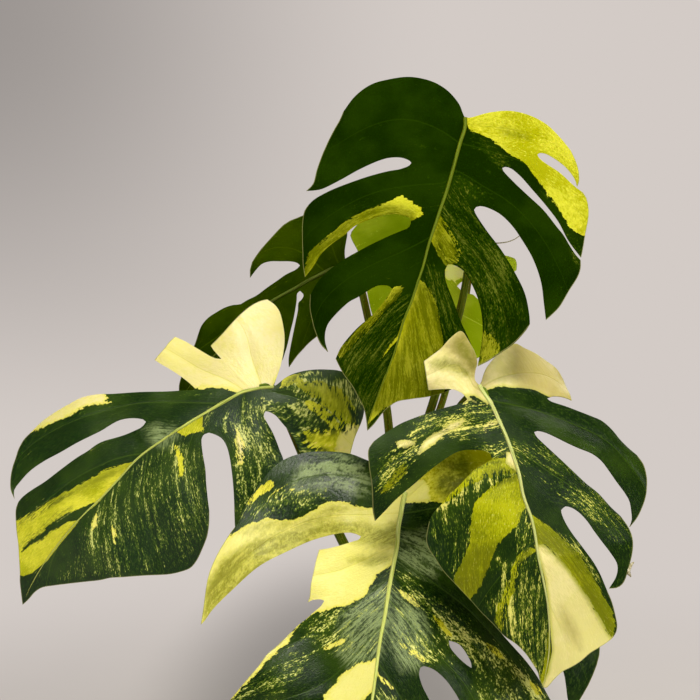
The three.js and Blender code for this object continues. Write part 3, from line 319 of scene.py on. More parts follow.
LEAF_FRONT = {
    "midrib": [(405.4, 492.5), (403, 501.5), (400.8, 513.8), (398.5, 526.2), (397, 545), (393.8, 563),
        (390, 583), (387, 601.5), (384.6, 616.9), (380.8, 636.4), (378, 655), (375.5, 677),
        (372.3, 699.2), (368, 730), (364, 765), (360, 800), (357, 828), (355, 848)],
    "depth": [(0, -120), (0.3, -165), (0.6, -200), (1, -225)],
    "halves": [{
        "lean": [(0, -0.05), (0.2, -0.02), (1, 0.1)],
        "curl": [(0, 0.0003), (1, 0.0006)],
        "shoulder": [(404, 489), (398, 480), (388, 470), (378, 464), (368.5, 460.8), (350, 453.8),
            (325.4, 451.5), (300.8, 453.8), (282.3, 460.8), (265.4, 476.2), (250, 498.5), (236.2, 526.2)],
        "cuts": [{
            "at": 0.08,
            "seam": [(385, 527), (373, 532), (360.8, 536.2)],
            "near": [(353, 533), (343.8, 532.8), (334.6, 534.2), (313, 540), (288.5, 550.8),
                (259.2, 566.2), (233, 589.2), (211.5, 610.8), (204.6, 620.8), (200.8, 624.6)],
            "far": [(359.2, 539.2), (353, 541.5), (340.8, 545.4), (328.5, 548.5), (319.2, 550)],
        }, {
            "at": 0.21,
            "seam": [(375, 576), (350, 589), (335, 597), (324.2, 600.8)],
            "near": [(320.8, 599.5), (313, 600), (307.7, 602.3)],
            "far": [(320.8, 606.2), (314.6, 611.5), (306.9, 618.5), (299.2, 624.6), (291.5, 632.3),
                (283.8, 640)],
        }, {
            "at": 0.45,
            "seam": [(352, 695), (325, 725)],
            "near": [(312, 727), (290, 730), (262, 738), (235, 748), (212, 757)],
            "far": [(318, 736), (300, 748), (280, 762), (268, 772)],
        }],
        "margins": [
            [(230, 533.8), (217.7, 553.8), (208.5, 575.4), (204.6, 598.5), (203, 610.8)],
            [(316.2, 560), (313.8, 570.8), (310.8, 584.6), (309.7, 596.9)],
            [(275.4, 647.7), (266.2, 655.4), (258.5, 666.2), (249.2, 676.9), (240, 687.7), (230, 700),
             (218, 716), (211, 735)],
            [(262, 784), (263, 800), (272, 815), (290, 828), (315, 838), (335, 843)],
        ],
    }, {
        "lean": [(0, 0.3), (0.15, 0.3), (0.35, 0.15), (1, 0.1)],
        "curl": [(0, 0), (1, 0.0004)],
        "shoulder": [(408, 484), (415, 468), (430, 450), (450, 440), (470, 436), (492, 438), (512, 447),
            (530, 462), (542, 477)],
        "cuts": [{
            "at": 0.15,
            "seam": [(420, 562), (448, 580), (474, 598)],
            "near": [(495, 606), (520, 620), (540, 635), (555, 655), (563.7, 672.4), (566, 685),
                (568, 700), (572, 712)],
            "far": [(484, 612), (494, 624), (501.4, 633.7), (513.2, 647), (525, 660.3), (536.8, 676.5),
                (550, 700)],
        }, {
            "at": 0.25,
            "seam": [(415, 605), (435, 625), (448.6, 640.4)],
            "near": [(458.7, 644), (466, 652.9), (471.2, 663.2), (471.7, 668.4)],
            "far": [(449.8, 647), (457.2, 656.6), (466, 664.7), (471.7, 668.4)],
            "close": [(485, 690), (500, 715), (518, 745), (540, 782)],
        }, {
            "at": 0.35,
            "seam": [(402, 642), (420.3, 667.6)],
            "near": [(423.3, 666.2), (432, 668.4), (439.5, 673.5), (446.9, 681), (454.2, 691.2),
                (459.4, 700), (470, 722), (485, 750), (498, 780)],
            "far": [(418.8, 673.5), (422.5, 686.8), (429.2, 700), (440, 728), (452, 755), (462, 782)],
        }],
        "margins": [
            [(550, 490), (557, 507), (565, 530), (575, 552), (585, 570), (594, 590), (600, 615),
             (600, 640), (598.7, 657.7), (589.7, 682), (579.5, 700)],
            [(560, 722), (566, 745), (566, 765), (556, 778)],
            [(526, 785), (510, 784)],
            [(465, 797), (462, 812), (448, 828), (425, 838), (395, 844), (372, 848)],
        ],
    }],
}

LEAF_LEFT = {
    "midrib": [(273.5, 387), (260.6, 388), (250.3, 390.2), (240, 393.2), (229.6, 399.1), (219.3, 405),
        (209, 410.9), (198.7, 416.8), (186.9, 424.2), (175, 431.5), (163.3, 439.6), (149.2, 449.2),
        (138.5, 457.7), (130.8, 465.4), (121.5, 476.2), (110.8, 487.7), (100, 499.2), (89.2, 509.2),
        (78.5, 520), (67.7, 532.3), (57.5, 545), (48.5, 557), (40.5, 569), (33.5, 581), (27.5, 593),
        (22.8, 604.6)],
    "depth": [(0, -30), (0.3, -50), (0.7, -60), (1, -45)],
    "creases": [[(148, 423), (153, 427), (157, 433)], [(155, 421), (163, 426), (169, 434)],
        [(136, 431), (140, 436), (145, 443)], [(143, 430), (149, 436), (155, 441)]],
    "halves": [{
        "lean": [(0, 0.45), (0.1, 0.6), (1, 0.6)],
        "curl": [(0, 0), (1, 0.001)],
        "shoulder": [(276.8, 377), (281.2, 363.7), (284.5, 343.1), (283.9, 329.8), (279.7, 312.1),
            (275.3, 305.5), (267.2, 299.6)],
        "cuts": [{
            "at": 0.065,
            "seam": [(236, 375), (221.5, 359)],
            "near": [(217.8, 354.9), (213.4, 349.7), (210.9, 345.7)],
            "far": [(216.3, 358.6), (210.4, 356.3), (201.6, 351.2), (194.2, 346.8), (185.4, 341.6),
                (175, 336.9)],
        }, {
            "at": 0.105,
            "seam": [(226.7, 390.2), (214.9, 388.3), (204.5, 389.5), (196, 389.3)],
            "near": [(188.3, 382.1), (179.5, 375.5), (169.2, 368.9), (160.3, 363.7), (154.9, 360)],
            "far": [(192, 390.5), (185.3, 390.6), (166.7, 391.7), (141, 392.2), (111.5, 394.1),
                (97.4, 394.5), (82, 397.7), (71.8, 402.8), (51.3, 415), (41, 422.7), (30.8, 433)],
        }, {
            "at": 0.285,
            "seam": [(170, 425), (158, 423), (146.2, 422)],
            "near": [(143.6, 419.5), (137.2, 418.2), (128.2, 418.2), (119.2, 420.1), (111.5, 424),
                (101.3, 430.4), (89.7, 436.2), (76.9, 442.6), (60.3, 452.2), (43.6, 461.2), (30, 470.8),
                (20.5, 481), (14, 490.5), (14.6, 499.2)],
            "far": [(142.3, 427.2), (135.9, 430.4), (125.6, 434.9), (115.4, 438.1), (103.8, 441.3),
                (96.2, 445.1), (88.5, 450.9), (76.9, 458), (60, 470.5), (44.6, 482.3), (32.3, 490),
                (23, 497), (18.5, 502.3)],
        }],
        "margins": [
            [(260.6, 301), (251.7, 305.5), (241.4, 313.6), (232.6, 322.4), (220.8, 335.7)],
            [(169.2, 342.3), (164.7, 348.2), (158.8, 354.9)],
            [(24.4, 439.4), (19.2, 448.3), (15.4, 459.2), (12.2, 469.5), (10.6, 479.7), (10.9, 490)],
            [(16.2, 509.2), (16.2, 523), (16.9, 532.3), (18.5, 544.6), (19.2, 557), (20, 572.3),
             (20, 581.5), (21.2, 592.3)],
        ],
    }, {
        "lean": [(0, -0.15), (0.3, -0.15), (1, 0)],
        "curl": [(0, 0.0005), (1, 0.0008)],
        "shoulder": [(278.3, 383.6), (285.6, 377.7), (293, 374), (303.3, 371.1), (315.1, 369.6),
            (326.9, 369.6), (340.2, 371.1), (352, 378), (361, 391), (364, 404), (363.8, 412.4)],
        "cuts": [{
            "at": 0.035,
            "seam": [(264, 398), (265.5, 411.3)],
            "near": [(268, 411.6), (275.3, 415.3), (281.2, 422), (288.6, 430.8), (294.5, 440.4),
                (300.4, 452.9), (310, 466), (325, 475), (341, 478)],
            "far": [(263.5, 415.3), (267.9, 424.2), (272.4, 432.3), (276.8, 442.6), (279.7, 450.7),
                (283, 458.8), (284, 475), (279, 493), (270, 510)],
        }, {
            "at": 0.14,
            "seam": [(219, 415), (209, 432.7)],
            "near": [(214.9, 434.5), (222.2, 438.9), (226.7, 446.3), (229.6, 456.6), (231.8, 471.3),
                (233.3, 486), (234.2, 501.5), (234.6, 516.9), (235.5, 530), (239, 542)],
            "far": [(203.8, 434.5), (201.6, 438.9), (201.5, 443), (203, 455.4), (205.4, 469.2),
                (206.2, 483), (207.7, 498.5), (209.2, 510.8)],
        }],
        "margins": [
            [(362.3, 419.7), (359.3, 427.1), (354.9, 437.4), (350.5, 453.6), (347, 468)],
            [(262, 522), (250, 534)],
            [(209.2, 523), (206.9, 537), (201.5, 550.8), (197, 560), (190.8, 567.7), (181.5, 571.5),
             (169.2, 574.2), (146.2, 575.4), (123, 577), (110.8, 577.7), (100, 580), (86.2, 581.5),
             (66.2, 583.8), (53.8, 585.4), (42, 587.5), (35, 592), (28, 600)],
        ],
    }],
}

LEAF_BACK = {
    "midrib": [(347, 264), (331, 269), (318, 275.5), (306, 281.6), (297, 287), (272, 301), (250, 318),
        (230, 338), (212, 358), (195, 379), (180, 400)],
    "depth": [(0, 55), (0.5, 60), (1, 45)],
    "halves": [{
        "lean": [(0, 0.2), (1, 0.2)],
        "curl": [(0, 0), (1, 0)],
        "shoulder": [(345.4, 260), (344.7, 251.3), (346, 242.3), (347.3, 233.3), (345, 222), (338, 212),
            (325, 208), (312, 211)],
        "cuts": [{
            "at": 0.14,
            "seam": [(309, 271), (300, 265.6)],
            "near": [(297.3, 263), (291.5, 261.5), (280, 261.3), (269.7, 261.5), (262, 264), (256, 270),
                (250, 278)],
            "far": [(296.7, 269.2), (286.4, 274.4), (277.4, 280.8), (267.2, 287.8), (257, 295.5),
                (246.7, 300.6), (240.3, 304.5), (233.8, 305), (224.9, 307.7), (215.9, 312.8),
                (208.2, 318), (201.8, 325.6), (198, 335.9)],
        }],
        "margins": [
            [(302.4, 216), (295.4, 218.6), (286, 223), (270, 239), (258, 253), (250.5, 266)],
            [(194.7, 345.5), (189, 358), (183, 372), (179, 386)],
        ],
    }, {
        "lean": [(0, -0.1), (1, -0.1)],
        "curl": [(0, 0.001), (1, 0.001)],
        "shoulder": [(352, 268), (354, 278), (350, 290), (340, 304), (328, 320), (316.5, 336.5)],
        "cuts": [{
            "at": 0.2,
            "seam": [(305, 285), (300, 290.8)],
            "near": [(303.7, 294.9), (301.8, 299.4), (298.6, 302.6), (298, 310), (295.4, 323),
                (292.8, 335.9), (290.3, 348.7), (288.7, 360.3), (289, 367.3)],
            "far": [(297.3, 293), (296.7, 300), (295.4, 309), (293.5, 319.2), (290.3, 332), (287, 346.2),
                (282.6, 359.6)],
        }],
        "margins": [
            [(309.5, 342.3), (303, 349.4), (296.7, 356.4)],
            [(276, 366), (266, 362), (255, 361), (245, 365), (238, 374), (228, 385), (213, 395),
             (196, 401)],
        ],
    }],
}

LEAF_YOUNG = {
    "midrib": [(470, 214), (455, 240), (440, 268), (430, 295), (424, 325), (421, 355), (420, 388)],
    "depth": [(0, 25), (1, 40)],
    "halves": [{
        "lean": [(0, 0.12), (1, 0.12)],
        "curl": [(0, 0.0004), (1, 0.0004)],
        "shoulder": [(468, 206), (455, 196), (430, 190), (405, 194), (385, 203), (368, 215)],
        "cuts": [],
        "margins": [
            [(358, 224), (350.4, 234.6), (352.7, 241.5), (358, 251.5), (364, 272), (367, 292), (372, 314),
             (383, 342), (398, 368), (410, 382)],
        ],
    }, {
        "lean": [(0, 0.1), (1, 0.1)],
        "curl": [(0, 0.0004), (1, 0.0004)],
        "shoulder": [(474, 222), (482, 236), (492, 248), (500, 254), (508, 256.4)],
        "cuts": [{
            "at": 0.33,
            "seam": [(450, 277), (457, 286)],
            "near": [(462, 281.5), (469.6, 279.6), (482, 279), (495, 278), (507, 275), (516.3, 270)],
            "far": [(461, 290), (468, 293.5), (473, 294.6), (477.7, 299), (490, 308)],
        }],
        "margins": [
            [(515, 258.8), (516.7, 263.5)],
            [(500, 318), (502, 332), (496, 344), (486, 353), (474, 360), (458, 368), (440, 378)],
        ],
    }],
}

# Each blade's drawing and the name of a finish
BLADES = {
    "leaf_top": (LEAF_TOP, "blade_dark"),
    "leaf_right": (LEAF_RIGHT, "blade_variegated"),
    "leaf_front": (LEAF_FRONT, "blade_variegated"),
    "leaf_left": (LEAF_LEFT, "blade_variegated"),
    "leaf_back": (LEAF_BACK, "blade_dark"),
    "leaf_young": (LEAF_YOUNG, "blade_lime"),
}

# Each stalk: its blade, the height, turn and distance where it leaves the cane, its radius at
# the foot and at the head, and the sheet points and depths that it passes.
PETIOLES = {
    "petiole_top": (LEAF_TOP, 318, 0, 0, 6.2, 3.1, (
        (404, 690, 0), (405, 600, 0), (408, 520, -3), (416, 460, -6), (435, 396, -9),
        (450, 345, -10), (460, 310, -10), (466.8, 275, -8), (470, 220, -4), (469, 165, -6))),
    "petiole_right": (LEAF_RIGHT, 292, 322, 17, 6.2, 3.4, (
        (412, 690, -20), (416, 620, -34), (421, 540, -54), (430, 475, -72), (440, 442, -80),
        (452, 420, -105), (465, 401, -136))),
    "petiole_front": (LEAF_FRONT, 278, 262, 17, 6.2, 3.6, (
        (402, 690, -42), (400, 640, -66), (400, 580, -88), (403, 530, -104))),
    "petiole_left": (LEAF_LEFT, 262, 190, 17, 6.6, 4.2, (
        (384, 690, -6), (374, 620, -10), (362, 580, -10), (342, 540, -10), (318, 490, -12),
        (292, 430, -14), (279, 400, -18))),
    "petiole_back": (LEAF_BACK, 285, 115, 17, 6.4, 3.9, (
        (396, 690, 26), (394, 600, 30), (393, 520, 36), (389, 430, 42), (382, 380, 50),
        (368, 318, 60), (362, 292, 64), (357, 275, 66))),
    "petiole_young": (LEAF_YOUNG, 300, 48, 16, 5.4, 2.9, (
        (407, 690, 22), (408, 600, 28), (414, 520, 34), (430, 440, 40), (444.5, 395, 45),
        (458, 345, 50), (466, 300, 50), (471, 255, 46))),
}

# Dry threads and scraps of a blade: sheet points with depths, radius at the ends and in the middle.
SCRAPS = {
    "leaf_young": [(((486, 268, 34), (488, 254, 33), (493, 244, 32), (500, 243, 31), (507, 242, 31),
                     (513, 240, 31), (518, 237, 31), (525, 231, 32)), 0.4, 0.6)],
    "leaf_right": [(((634, 562, -188), (630, 566, -189), (628, 571, -190.5), (631, 577, -189)),
                    0.4, 2.2)],
}

# Where the blades aren't plain green: outlines on the sheet of their cream and yellow sectors and
# of the dark patches that cut them, of olive that dulls them, which is olive tissue in part and
# painted shade in part, of tan, which is painted shade on cream, of marbled and flecked zones, and
# of pale grey-green patches of painted sheen on the green.
TINTS = {"leaf_top": {
    "yellow": [
        [(303, 275), (310, 251), (325, 240), (345, 222), (365, 211), (375, 208), (385, 203), (402, 196),
         (412, 203), (420, 207), (424, 216), (411, 221), (399, 219), (388, 219), (377, 222), (355, 231),
         (344, 240), (333, 248), (321, 259), (313, 272), (303, 280)],
        [(464, 118), (470, 131), (480, 134), (491, 140), (501, 148), (512, 156), (522, 161), (530, 170),
         (537, 178), (543, 187), (550, 198), (554, 202), (559, 210), (565, 218), (568, 224), (573, 231),
         (583, 236), (600, 240), (610, 200), (600, 100), (470, 95)],
        [(438, 212), (447, 224), (452, 233), (457, 243), (462, 252), (458, 262), (446, 266), (440, 258),
         (437, 250), (430, 239), (434, 227)],
        [(418, 278), (428, 287), (433, 297), (437, 308), (440, 322), (443, 340), (445, 352), (450, 380),
         (440, 400), (400, 402), (385, 408), (368, 424), (366, 431), (370, 416), (379, 391), (387, 369),
         (394, 349), (402, 322), (412, 300)],
        [(478, 338), (486, 330), (494, 338), (502, 350), (490, 360), (477, 368)],
        [(404, 286), (394, 287), (386, 299), (373, 315), (357, 330), (343, 345), (337, 357), (343, 357),
         (353, 345), (366, 333), (379, 319), (392, 305), (400, 296)],
        [(402, 331), (391, 344), (380, 362), (386, 360), (398, 346), (401, 334)],
    ],
    "marbled": [
        [(404, 290), (395, 296), (380, 312), (360, 332), (344, 350), (337, 361), (345, 380), (362, 405),
         (368, 425), (376, 400), (388, 365), (398, 335), (410, 300)],
        [(446, 188), (462, 200), (476, 210), (492, 238), (505, 262), (520, 295), (528, 322), (505, 350),
         (478, 362), (470, 300), (462, 262), (448, 262), (438, 245), (440, 215)],
        [(428, 262), (446, 280), (460, 310), (478, 360), (450, 356), (442, 330), (434, 300), (424, 284)],
        [(484, 285), (492, 320), (503, 345), (478, 364), (482, 330)],
    ],
    "flecked": [
        [(562, 232), (582, 236), (584, 262), (574, 262), (566, 245)],
        [(455, 165), (480, 190), (500, 215), (480, 205), (455, 190)],
        [(474, 132), (500, 152), (520, 170), (530, 180), (510, 176), (492, 160), (470, 145)],
    ],
    "olive": [
        [(418, 276), (438, 300), (452, 330), (456, 352), (450, 385), (432, 405), (404, 412), (386, 420),
         (368, 410), (376, 388), (390, 366), (400, 345), (406, 322), (412, 300)],
        [(296, 280), (306, 248), (325, 236), (345, 218), (365, 207), (385, 205), (404, 207), (416, 212),
         (414, 224), (390, 222), (360, 234), (340, 248), (325, 262), (308, 284)],
        [(430, 210), (446, 210), (462, 250), (458, 268), (436, 266)],
        [(330, 350), (350, 325), (375, 312), (402, 284), (408, 290), (395, 310), (375, 330), (356, 350),
         (345, 365)],
        [(500, 130), (520, 133), (530, 138), (512, 136)],
        [(474, 275), (488, 285), (500, 320), (512, 345), (478, 372), (476, 330)],
    ],
    "dark": [
        [(452, 216), (458, 226), (466, 242), (462, 246), (454, 234), (449, 222)],
        [(383, 357), (391, 347), (398, 340), (396, 352), (388, 370), (378, 388), (368, 398), (366, 388),
         (374, 372)],
    ],
}, "leaf_right": {
    "cream": [
        [(479, 387), (482, 392), (494, 388), (502, 387), (510, 388), (522, 388), (535, 390), (541, 394),
         (548, 397), (580, 405), (580, 340), (500, 325), (475, 355), (478, 386)],
        [(479, 386), (486, 395), (490, 404), (484, 407), (476, 404), (470, 400), (466, 404), (440, 402),
         (405, 400), (405, 350), (455, 315), (482, 340), (480, 372)],
        [(466, 419), (452, 422), (442, 428), (432, 433), (424, 441), (418, 450), (414, 456), (424, 452),
         (432, 445), (442, 438), (450, 432), (460, 426)],
        [(395, 442), (404, 440), (417, 441), (413, 445), (405, 449), (398, 448)],
        [(482, 429), (485, 423), (492, 421), (500, 420), (496, 426), (489, 427), (486, 433), (483, 432)],
        [(506, 452), (513, 452), (516, 462), (520, 476), (520, 475), (509, 466), (505, 462)],
        [(532, 538), (535, 545), (545, 544), (551, 549), (560, 559), (568, 569), (576, 581), (582, 590),
         (587, 595), (591, 601), (596, 612), (601, 619), (606, 630), (611, 637), (630, 645), (600, 690),
         (560, 700), (543, 700), (538, 692), (548, 672), (552, 650), (550, 625), (548, 600), (545, 580),
         (541, 565), (536, 550)],
    ],
    "yellow": [
        [(520, 473), (504, 479), (493, 486), (481, 495), (475, 502), (473, 513), (471, 529), (469, 544),
         (465, 557), (457, 570), (454, 581), (460, 592), (470, 600), (479, 588), (484, 579), (488, 567),
         (493, 557), (498, 544), (510, 533), (519, 522), (527, 503), (523, 489)],
        [(490, 459), (505, 457), (516, 461), (520, 472), (505, 474), (485, 478), (465, 488), (448, 502),
         (436, 505), (445, 490), (460, 475), (475, 466)],
        [(538, 550), (529, 556), (521, 562), (519, 575), (517, 588), (509, 600), (505, 620), (502, 632),
         (494, 620), (500, 600), (506, 585), (513, 566), (520, 553), (530, 547)],
        [(528, 512), (538, 519), (549, 526), (559, 535), (569, 545), (580, 555), (587, 565), (592, 576),
         (599, 587), (605, 599), (612, 609), (615, 622), (614, 634), (611, 638), (601, 624), (590, 604),
         (575, 583), (560, 561), (545, 545), (536, 547), (533, 529)],
        [(548, 628), (551, 648), (549, 672), (542, 690), (540, 680), (544, 662), (547, 645)],
        [(405, 463), (396, 471), (386, 483), (378, 494), (383, 495), (396, 482), (407, 470)],
    ],
    "marbled": [
        [(488, 402), (466, 402), (455, 412), (430, 414), (404, 428), (412, 440), (440, 432), (465, 440),
         (498, 430), (500, 415)],
        [(392, 447), (420, 448), (408, 470), (392, 490), (378, 488), (376, 470), (380, 458)],
        [(478, 448), (485, 444), (500, 444), (504, 455), (490, 458), (484, 456)],
        [(490, 462), (518, 466), (518, 476), (490, 486), (460, 500), (440, 505), (452, 488), (470, 470)],
        [(523, 508), (529, 520), (534, 545), (522, 556), (515, 548), (518, 525)],
        [(498, 560), (520, 560), (535, 556), (543, 590), (550, 650), (540, 684), (505, 634), (486, 605),
         (500, 585)],
        [(560, 534), (575, 545), (590, 560), (603, 585), (595, 578), (583, 560), (570, 548)],
    ],
    "flecked": [
        [(575, 478), (600, 498), (622, 522), (632, 540), (622, 535), (600, 515), (580, 492)],
        [(424, 505), (470, 500), (472, 540), (456, 575), (434, 560), (424, 530)],
        [(506, 438), (540, 444), (572, 462), (602, 490), (624, 520), (636, 545), (632, 562), (618, 552),
         (606, 530), (590, 520), (570, 505), (548, 485), (525, 468), (510, 455)],
    ],
    "olive": [
        [(474, 545), (490, 545), (500, 540), (490, 580), (470, 602), (452, 582), (458, 566)],
        [(520, 530), (540, 524), (560, 538), (590, 575), (612, 622), (610, 634), (590, 602), (570, 572),
         (545, 548), (530, 540)],
        [(395, 466), (404, 462), (408, 470), (384, 494), (378, 498)],
        [(490, 470), (518, 470), (515, 480), (490, 484), (470, 488)],
        # Painted shade: the right part of the left cream flap, under the top blade.
        [(450, 346), (463, 334), (472, 348), (477, 372), (470, 368), (460, 358)],
        [(430, 362), (445, 358), (462, 364), (472, 376), (462, 376), (446, 370), (432, 368)],
    ],
    # Painted shade: both cream flaps darkened to tan where the top blade shades them, and a darker patch
    # on the cream end.
    "tan": [
        [(440, 345), (460, 322), (485, 335), (488, 388), (478, 396), (466, 376), (452, 360)],
        [(512, 340), (530, 330), (560, 345), (585, 405), (560, 412), (540, 396), (520, 392), (504, 372)],
        [(562, 608), (570, 618), (577, 632), (580, 648), (571, 640), (564, 624)],
    ],
    "dark": [
        [(466, 396), (474, 396), (482, 401), (488, 404), (480, 405), (473, 400)],
    ],
}, "leaf_front": {
    "cream": [
        [(228, 537), (236, 531), (248, 525), (259, 521), (270, 518), (282, 520), (295, 519), (305, 515),
         (307, 512), (318, 507), (327, 502), (338, 502), (348, 502), (353, 506), (364, 508), (373, 507),
         (388, 498), (405, 486), (403, 505), (398, 540), (395, 561), (395, 562), (387, 569), (376, 575),
         (373, 583), (367, 589), (367, 595), (352, 603), (342, 607), (333, 608), (324, 611), (312, 614),
         (302, 622), (295, 630), (288, 643), (278, 651), (266, 663), (254, 677), (243, 688), (232, 699),
         (200, 730), (170, 700), (180, 560), (215, 545)],
        [(323, 649), (328, 645), (338, 640), (348, 638), (343, 644), (334, 648), (328, 651)],
        [(402, 483), (418, 477), (428, 483), (431, 502), (402, 503)],
        [(281, 488), (298, 482), (307, 484), (298, 488), (282, 492), (270, 495)],
        [(397, 588), (402, 590), (414, 598), (421, 605), (420, 608), (411, 605), (402, 597)],
        [(395, 637), (405, 645), (418, 654), (428, 662), (423, 663), (411, 655)],
        [(366, 778), (384, 790), (396, 812), (390, 840), (372, 856), (352, 860), (358, 825)],
        [(420, 744), (436, 752), (448, 776), (444, 800), (432, 786), (424, 764)],
        [(379, 656), (368, 662), (358, 662), (349, 670), (342, 675), (337, 682), (331, 688), (325, 695),
         (318, 712), (352, 715), (365, 697), (374, 691), (376, 677)],
        [(375, 671), (385, 680), (397, 691), (392, 690), (380, 681)],
    ],
    "yellow": [
        [(259, 488), (270, 480), (276, 485), (264, 494), (252, 503), (246, 508), (248, 500)],
        [(400, 498), (414, 498), (425, 500), (435, 502), (444, 503), (456, 499), (470, 486), (500, 462),
         (500, 430), (400, 430)],
        [(430, 612), (440, 620), (452, 636), (448, 637), (437, 625)],
        [(484, 640), (492, 645), (504, 658), (498, 657), (489, 650)],
        [(528, 680), (538, 686), (542, 696), (534, 694)],
        [(330, 780), (345, 772), (350, 790), (344, 815), (325, 838), (300, 838), (316, 815)],
    ],
    "marbled": [
        [(398, 570), (420, 580), (445, 607), (470, 632), (500, 650), (540, 685), (560, 710), (480, 710),
         (470, 660), (440, 640), (425, 615), (400, 590)],
        [(398, 600), (430, 640), (440, 655), (430, 668), (410, 655), (394, 640)],
        [(350, 705), (325, 725), (300, 750), (275, 775), (275, 805), (300, 825), (330, 830), (348, 800),
         (354, 750)],
        [(470, 705), (500, 720), (530, 760), (520, 790), (490, 780), (470, 750)],
        [(376, 690), (400, 700), (430, 730), (440, 770), (430, 830), (400, 850), (372, 830), (370, 760)],
    ],
    "flecked": [
        [(300, 640), (325, 615), (345, 608), (370, 595), (390, 570), (392, 590), (384, 640), (372, 655),
         (340, 650), (320, 640)],
        [(250, 500), (280, 492), (325, 484), (330, 497), (300, 508), (260, 515), (240, 520)],
        [(230, 700), (255, 680), (290, 650), (310, 655), (300, 680), (270, 700), (250, 715)],
    ],
    # Partly painted shade: the first outline darkens the cream finger's curled lower edge and its root
    # under the right blade, and the third darkens the right basal lobe that the right blade shades.
    "olive": [
        [(200, 630), (205, 590), (222, 560), (245, 543), (275, 534), (305, 527), (335, 520), (362, 522),
         (384, 528), (402, 520), (402, 545), (385, 548), (345, 540), (312, 548), (290, 556), (262, 572),
         (240, 590), (215, 615)],
        [(262, 522), (300, 520), (330, 507), (350, 506), (340, 512), (305, 524), (270, 528), (245, 536),
         (240, 532)],
        [(436, 462), (466, 448), (474, 480), (450, 500), (434, 492)],
        [(350, 560), (390, 553), (392, 562), (370, 566)],
    ],
    # Painted sheen: pale grey-green where the front blade shows a sheen, on its left lobe and beside the
    # midrib.
    "silver": [
        [(300, 468), (318, 458), (340, 456), (362, 464), (370, 480), (366, 494), (348, 492), (330, 484),
         (308, 490), (292, 488)],
        [(340, 612), (360, 600), (382, 585), (392, 590), (388, 625), (380, 655), (350, 668), (335, 650)],
        [(396, 594), (410, 598), (424, 618), (430, 648), (418, 670), (402, 668), (390, 645)],
        [(402, 536), (425, 530), (440, 545), (444, 565), (432, 577), (412, 572), (400, 560)],
    ],
}, "leaf_left": {
    "cream": [
        [(194, 388), (200, 389), (204, 390), (202, 386), (209, 387), (215, 388), (221, 388), (227, 390),
         (240, 394), (256, 390), (272, 388), (276, 380), (300, 340), (280, 280), (220, 300), (140, 330),
         (140, 370), (188, 386)],
        [(112, 402), (104, 404), (97, 405), (88, 407), (77, 411), (72, 415), (64, 419), (51, 424),
         (41, 429), (28, 434), (20, 420), (60, 385), (105, 388), (106, 396), (109, 398), (106, 400)],
        [(237, 429), (240, 436), (244, 442), (246, 452), (244, 467), (238, 464), (236, 452), (235, 442)],
        [(95, 512), (98, 520), (95, 532), (92, 530), (93, 520)],
        [(112, 525), (116, 530), (117, 546), (113, 545)],
        [(332, 452), (338, 436), (346, 424), (360, 424), (364, 464), (336, 462)],
    ],
    "yellow": [
        [(136, 461), (123, 465), (108, 469), (92, 478), (80, 485), (66, 492), (52, 500), (42, 506),
         (31, 514), (15, 522), (10, 545), (18, 556), (30, 541), (42, 533), (51, 524), (60, 517),
         (75, 510), (91, 509), (97, 504), (106, 494), (117, 482), (128, 470)],
        [(80, 520), (68, 522), (58, 528), (46, 535), (35, 542), (26, 549), (15, 556), (12, 574),
         (24, 576), (32, 573), (47, 561), (60, 544), (72, 530)],
        [(203, 413), (191, 420), (174, 431), (174, 431), (185, 436), (193, 432), (204, 432), (203, 423)],
        [(174, 442), (178, 446), (183, 457), (184, 474), (180, 478), (178, 462)],
        [(330, 422), (356, 432), (352, 454), (338, 448), (330, 435)],
        [(283, 378), (300, 373), (312, 373), (306, 379), (292, 384), (280, 388)],
        [(296, 384), (318, 380), (342, 386), (357, 402), (356, 436), (346, 428), (334, 412), (316, 399),
         (302, 392)],
        [(305, 400), (320, 406), (335, 416), (330, 425), (318, 416), (308, 408)],
        [(298, 434), (312, 428), (332, 430), (352, 436), (350, 454), (325, 454), (305, 446)],
    ],
    "marbled": [
        [(50, 500), (60, 497), (75, 497), (70, 508), (55, 516), (30, 540), (18, 545), (14, 530),
         (30, 515)],
        [(206, 412), (214, 406), (212, 420), (204, 424)],
        [(240, 400), (300, 400), (330, 425), (340, 450), (300, 455), (270, 410), (280, 460), (262, 480),
         (240, 512), (234, 470), (238, 430), (215, 425)],
        [(278, 386), (310, 372), (345, 378), (362, 412), (350, 450), (325, 425), (300, 398)],
    ],
    "flecked": [
        [(175, 440), (200, 450), (207, 480), (208, 520), (192, 560), (150, 570), (60, 580), (90, 520),
         (130, 470), (160, 450)],
    ],
    "olive": [
        [(136, 461), (108, 469), (80, 484), (52, 500), (60, 502), (90, 490), (120, 474)],
        [(283, 378), (300, 373), (320, 374), (345, 384), (356, 400), (352, 424), (338, 416), (322, 404),
         (300, 396), (288, 392)],
    ],
    # Painted sheen: the wrinkled sheen beside the end of the slot.
    "silver": [
        [(148, 430), (158, 425), (172, 428), (178, 436), (168, 446), (154, 443)],
    ],
    "dark": [
        [(95, 502), (82, 508), (68, 515), (58, 518), (51, 526), (42, 535), (31, 542), (37, 543),
         (51, 532), (65, 523), (72, 520), (83, 514), (93, 507)],
        [(296, 371), (330, 376), (345, 383), (356, 398), (362, 412), (356, 414), (348, 398), (336, 388),
         (318, 380), (300, 378)],
    ],
}, "leaf_young": {
    "cream": [
        [(445, 262), (455, 259), (466, 266), (468, 275), (455, 281), (444, 278)],
    ],
}}


# Sheet and curves
def from_sheet(x, y, depth):
    """Points in millimetres where the sightlines through sheet points meet the depths."""
    across = (np.asarray(x, float) - SHEET_CENTRE) / SHEET_DISTANCE
    rise = (SHEET_CENTRE - np.asarray(y, float)) / SHEET_DISTANCE
    direction = np.stack([across, FORWARD[1] + rise * UPWARD[1], FORWARD[2] + rise * UPWARD[2]], -1)
    reach = (depth - EYE[1]) / direction[..., 1]
    return EYE + direction * reach[..., None]


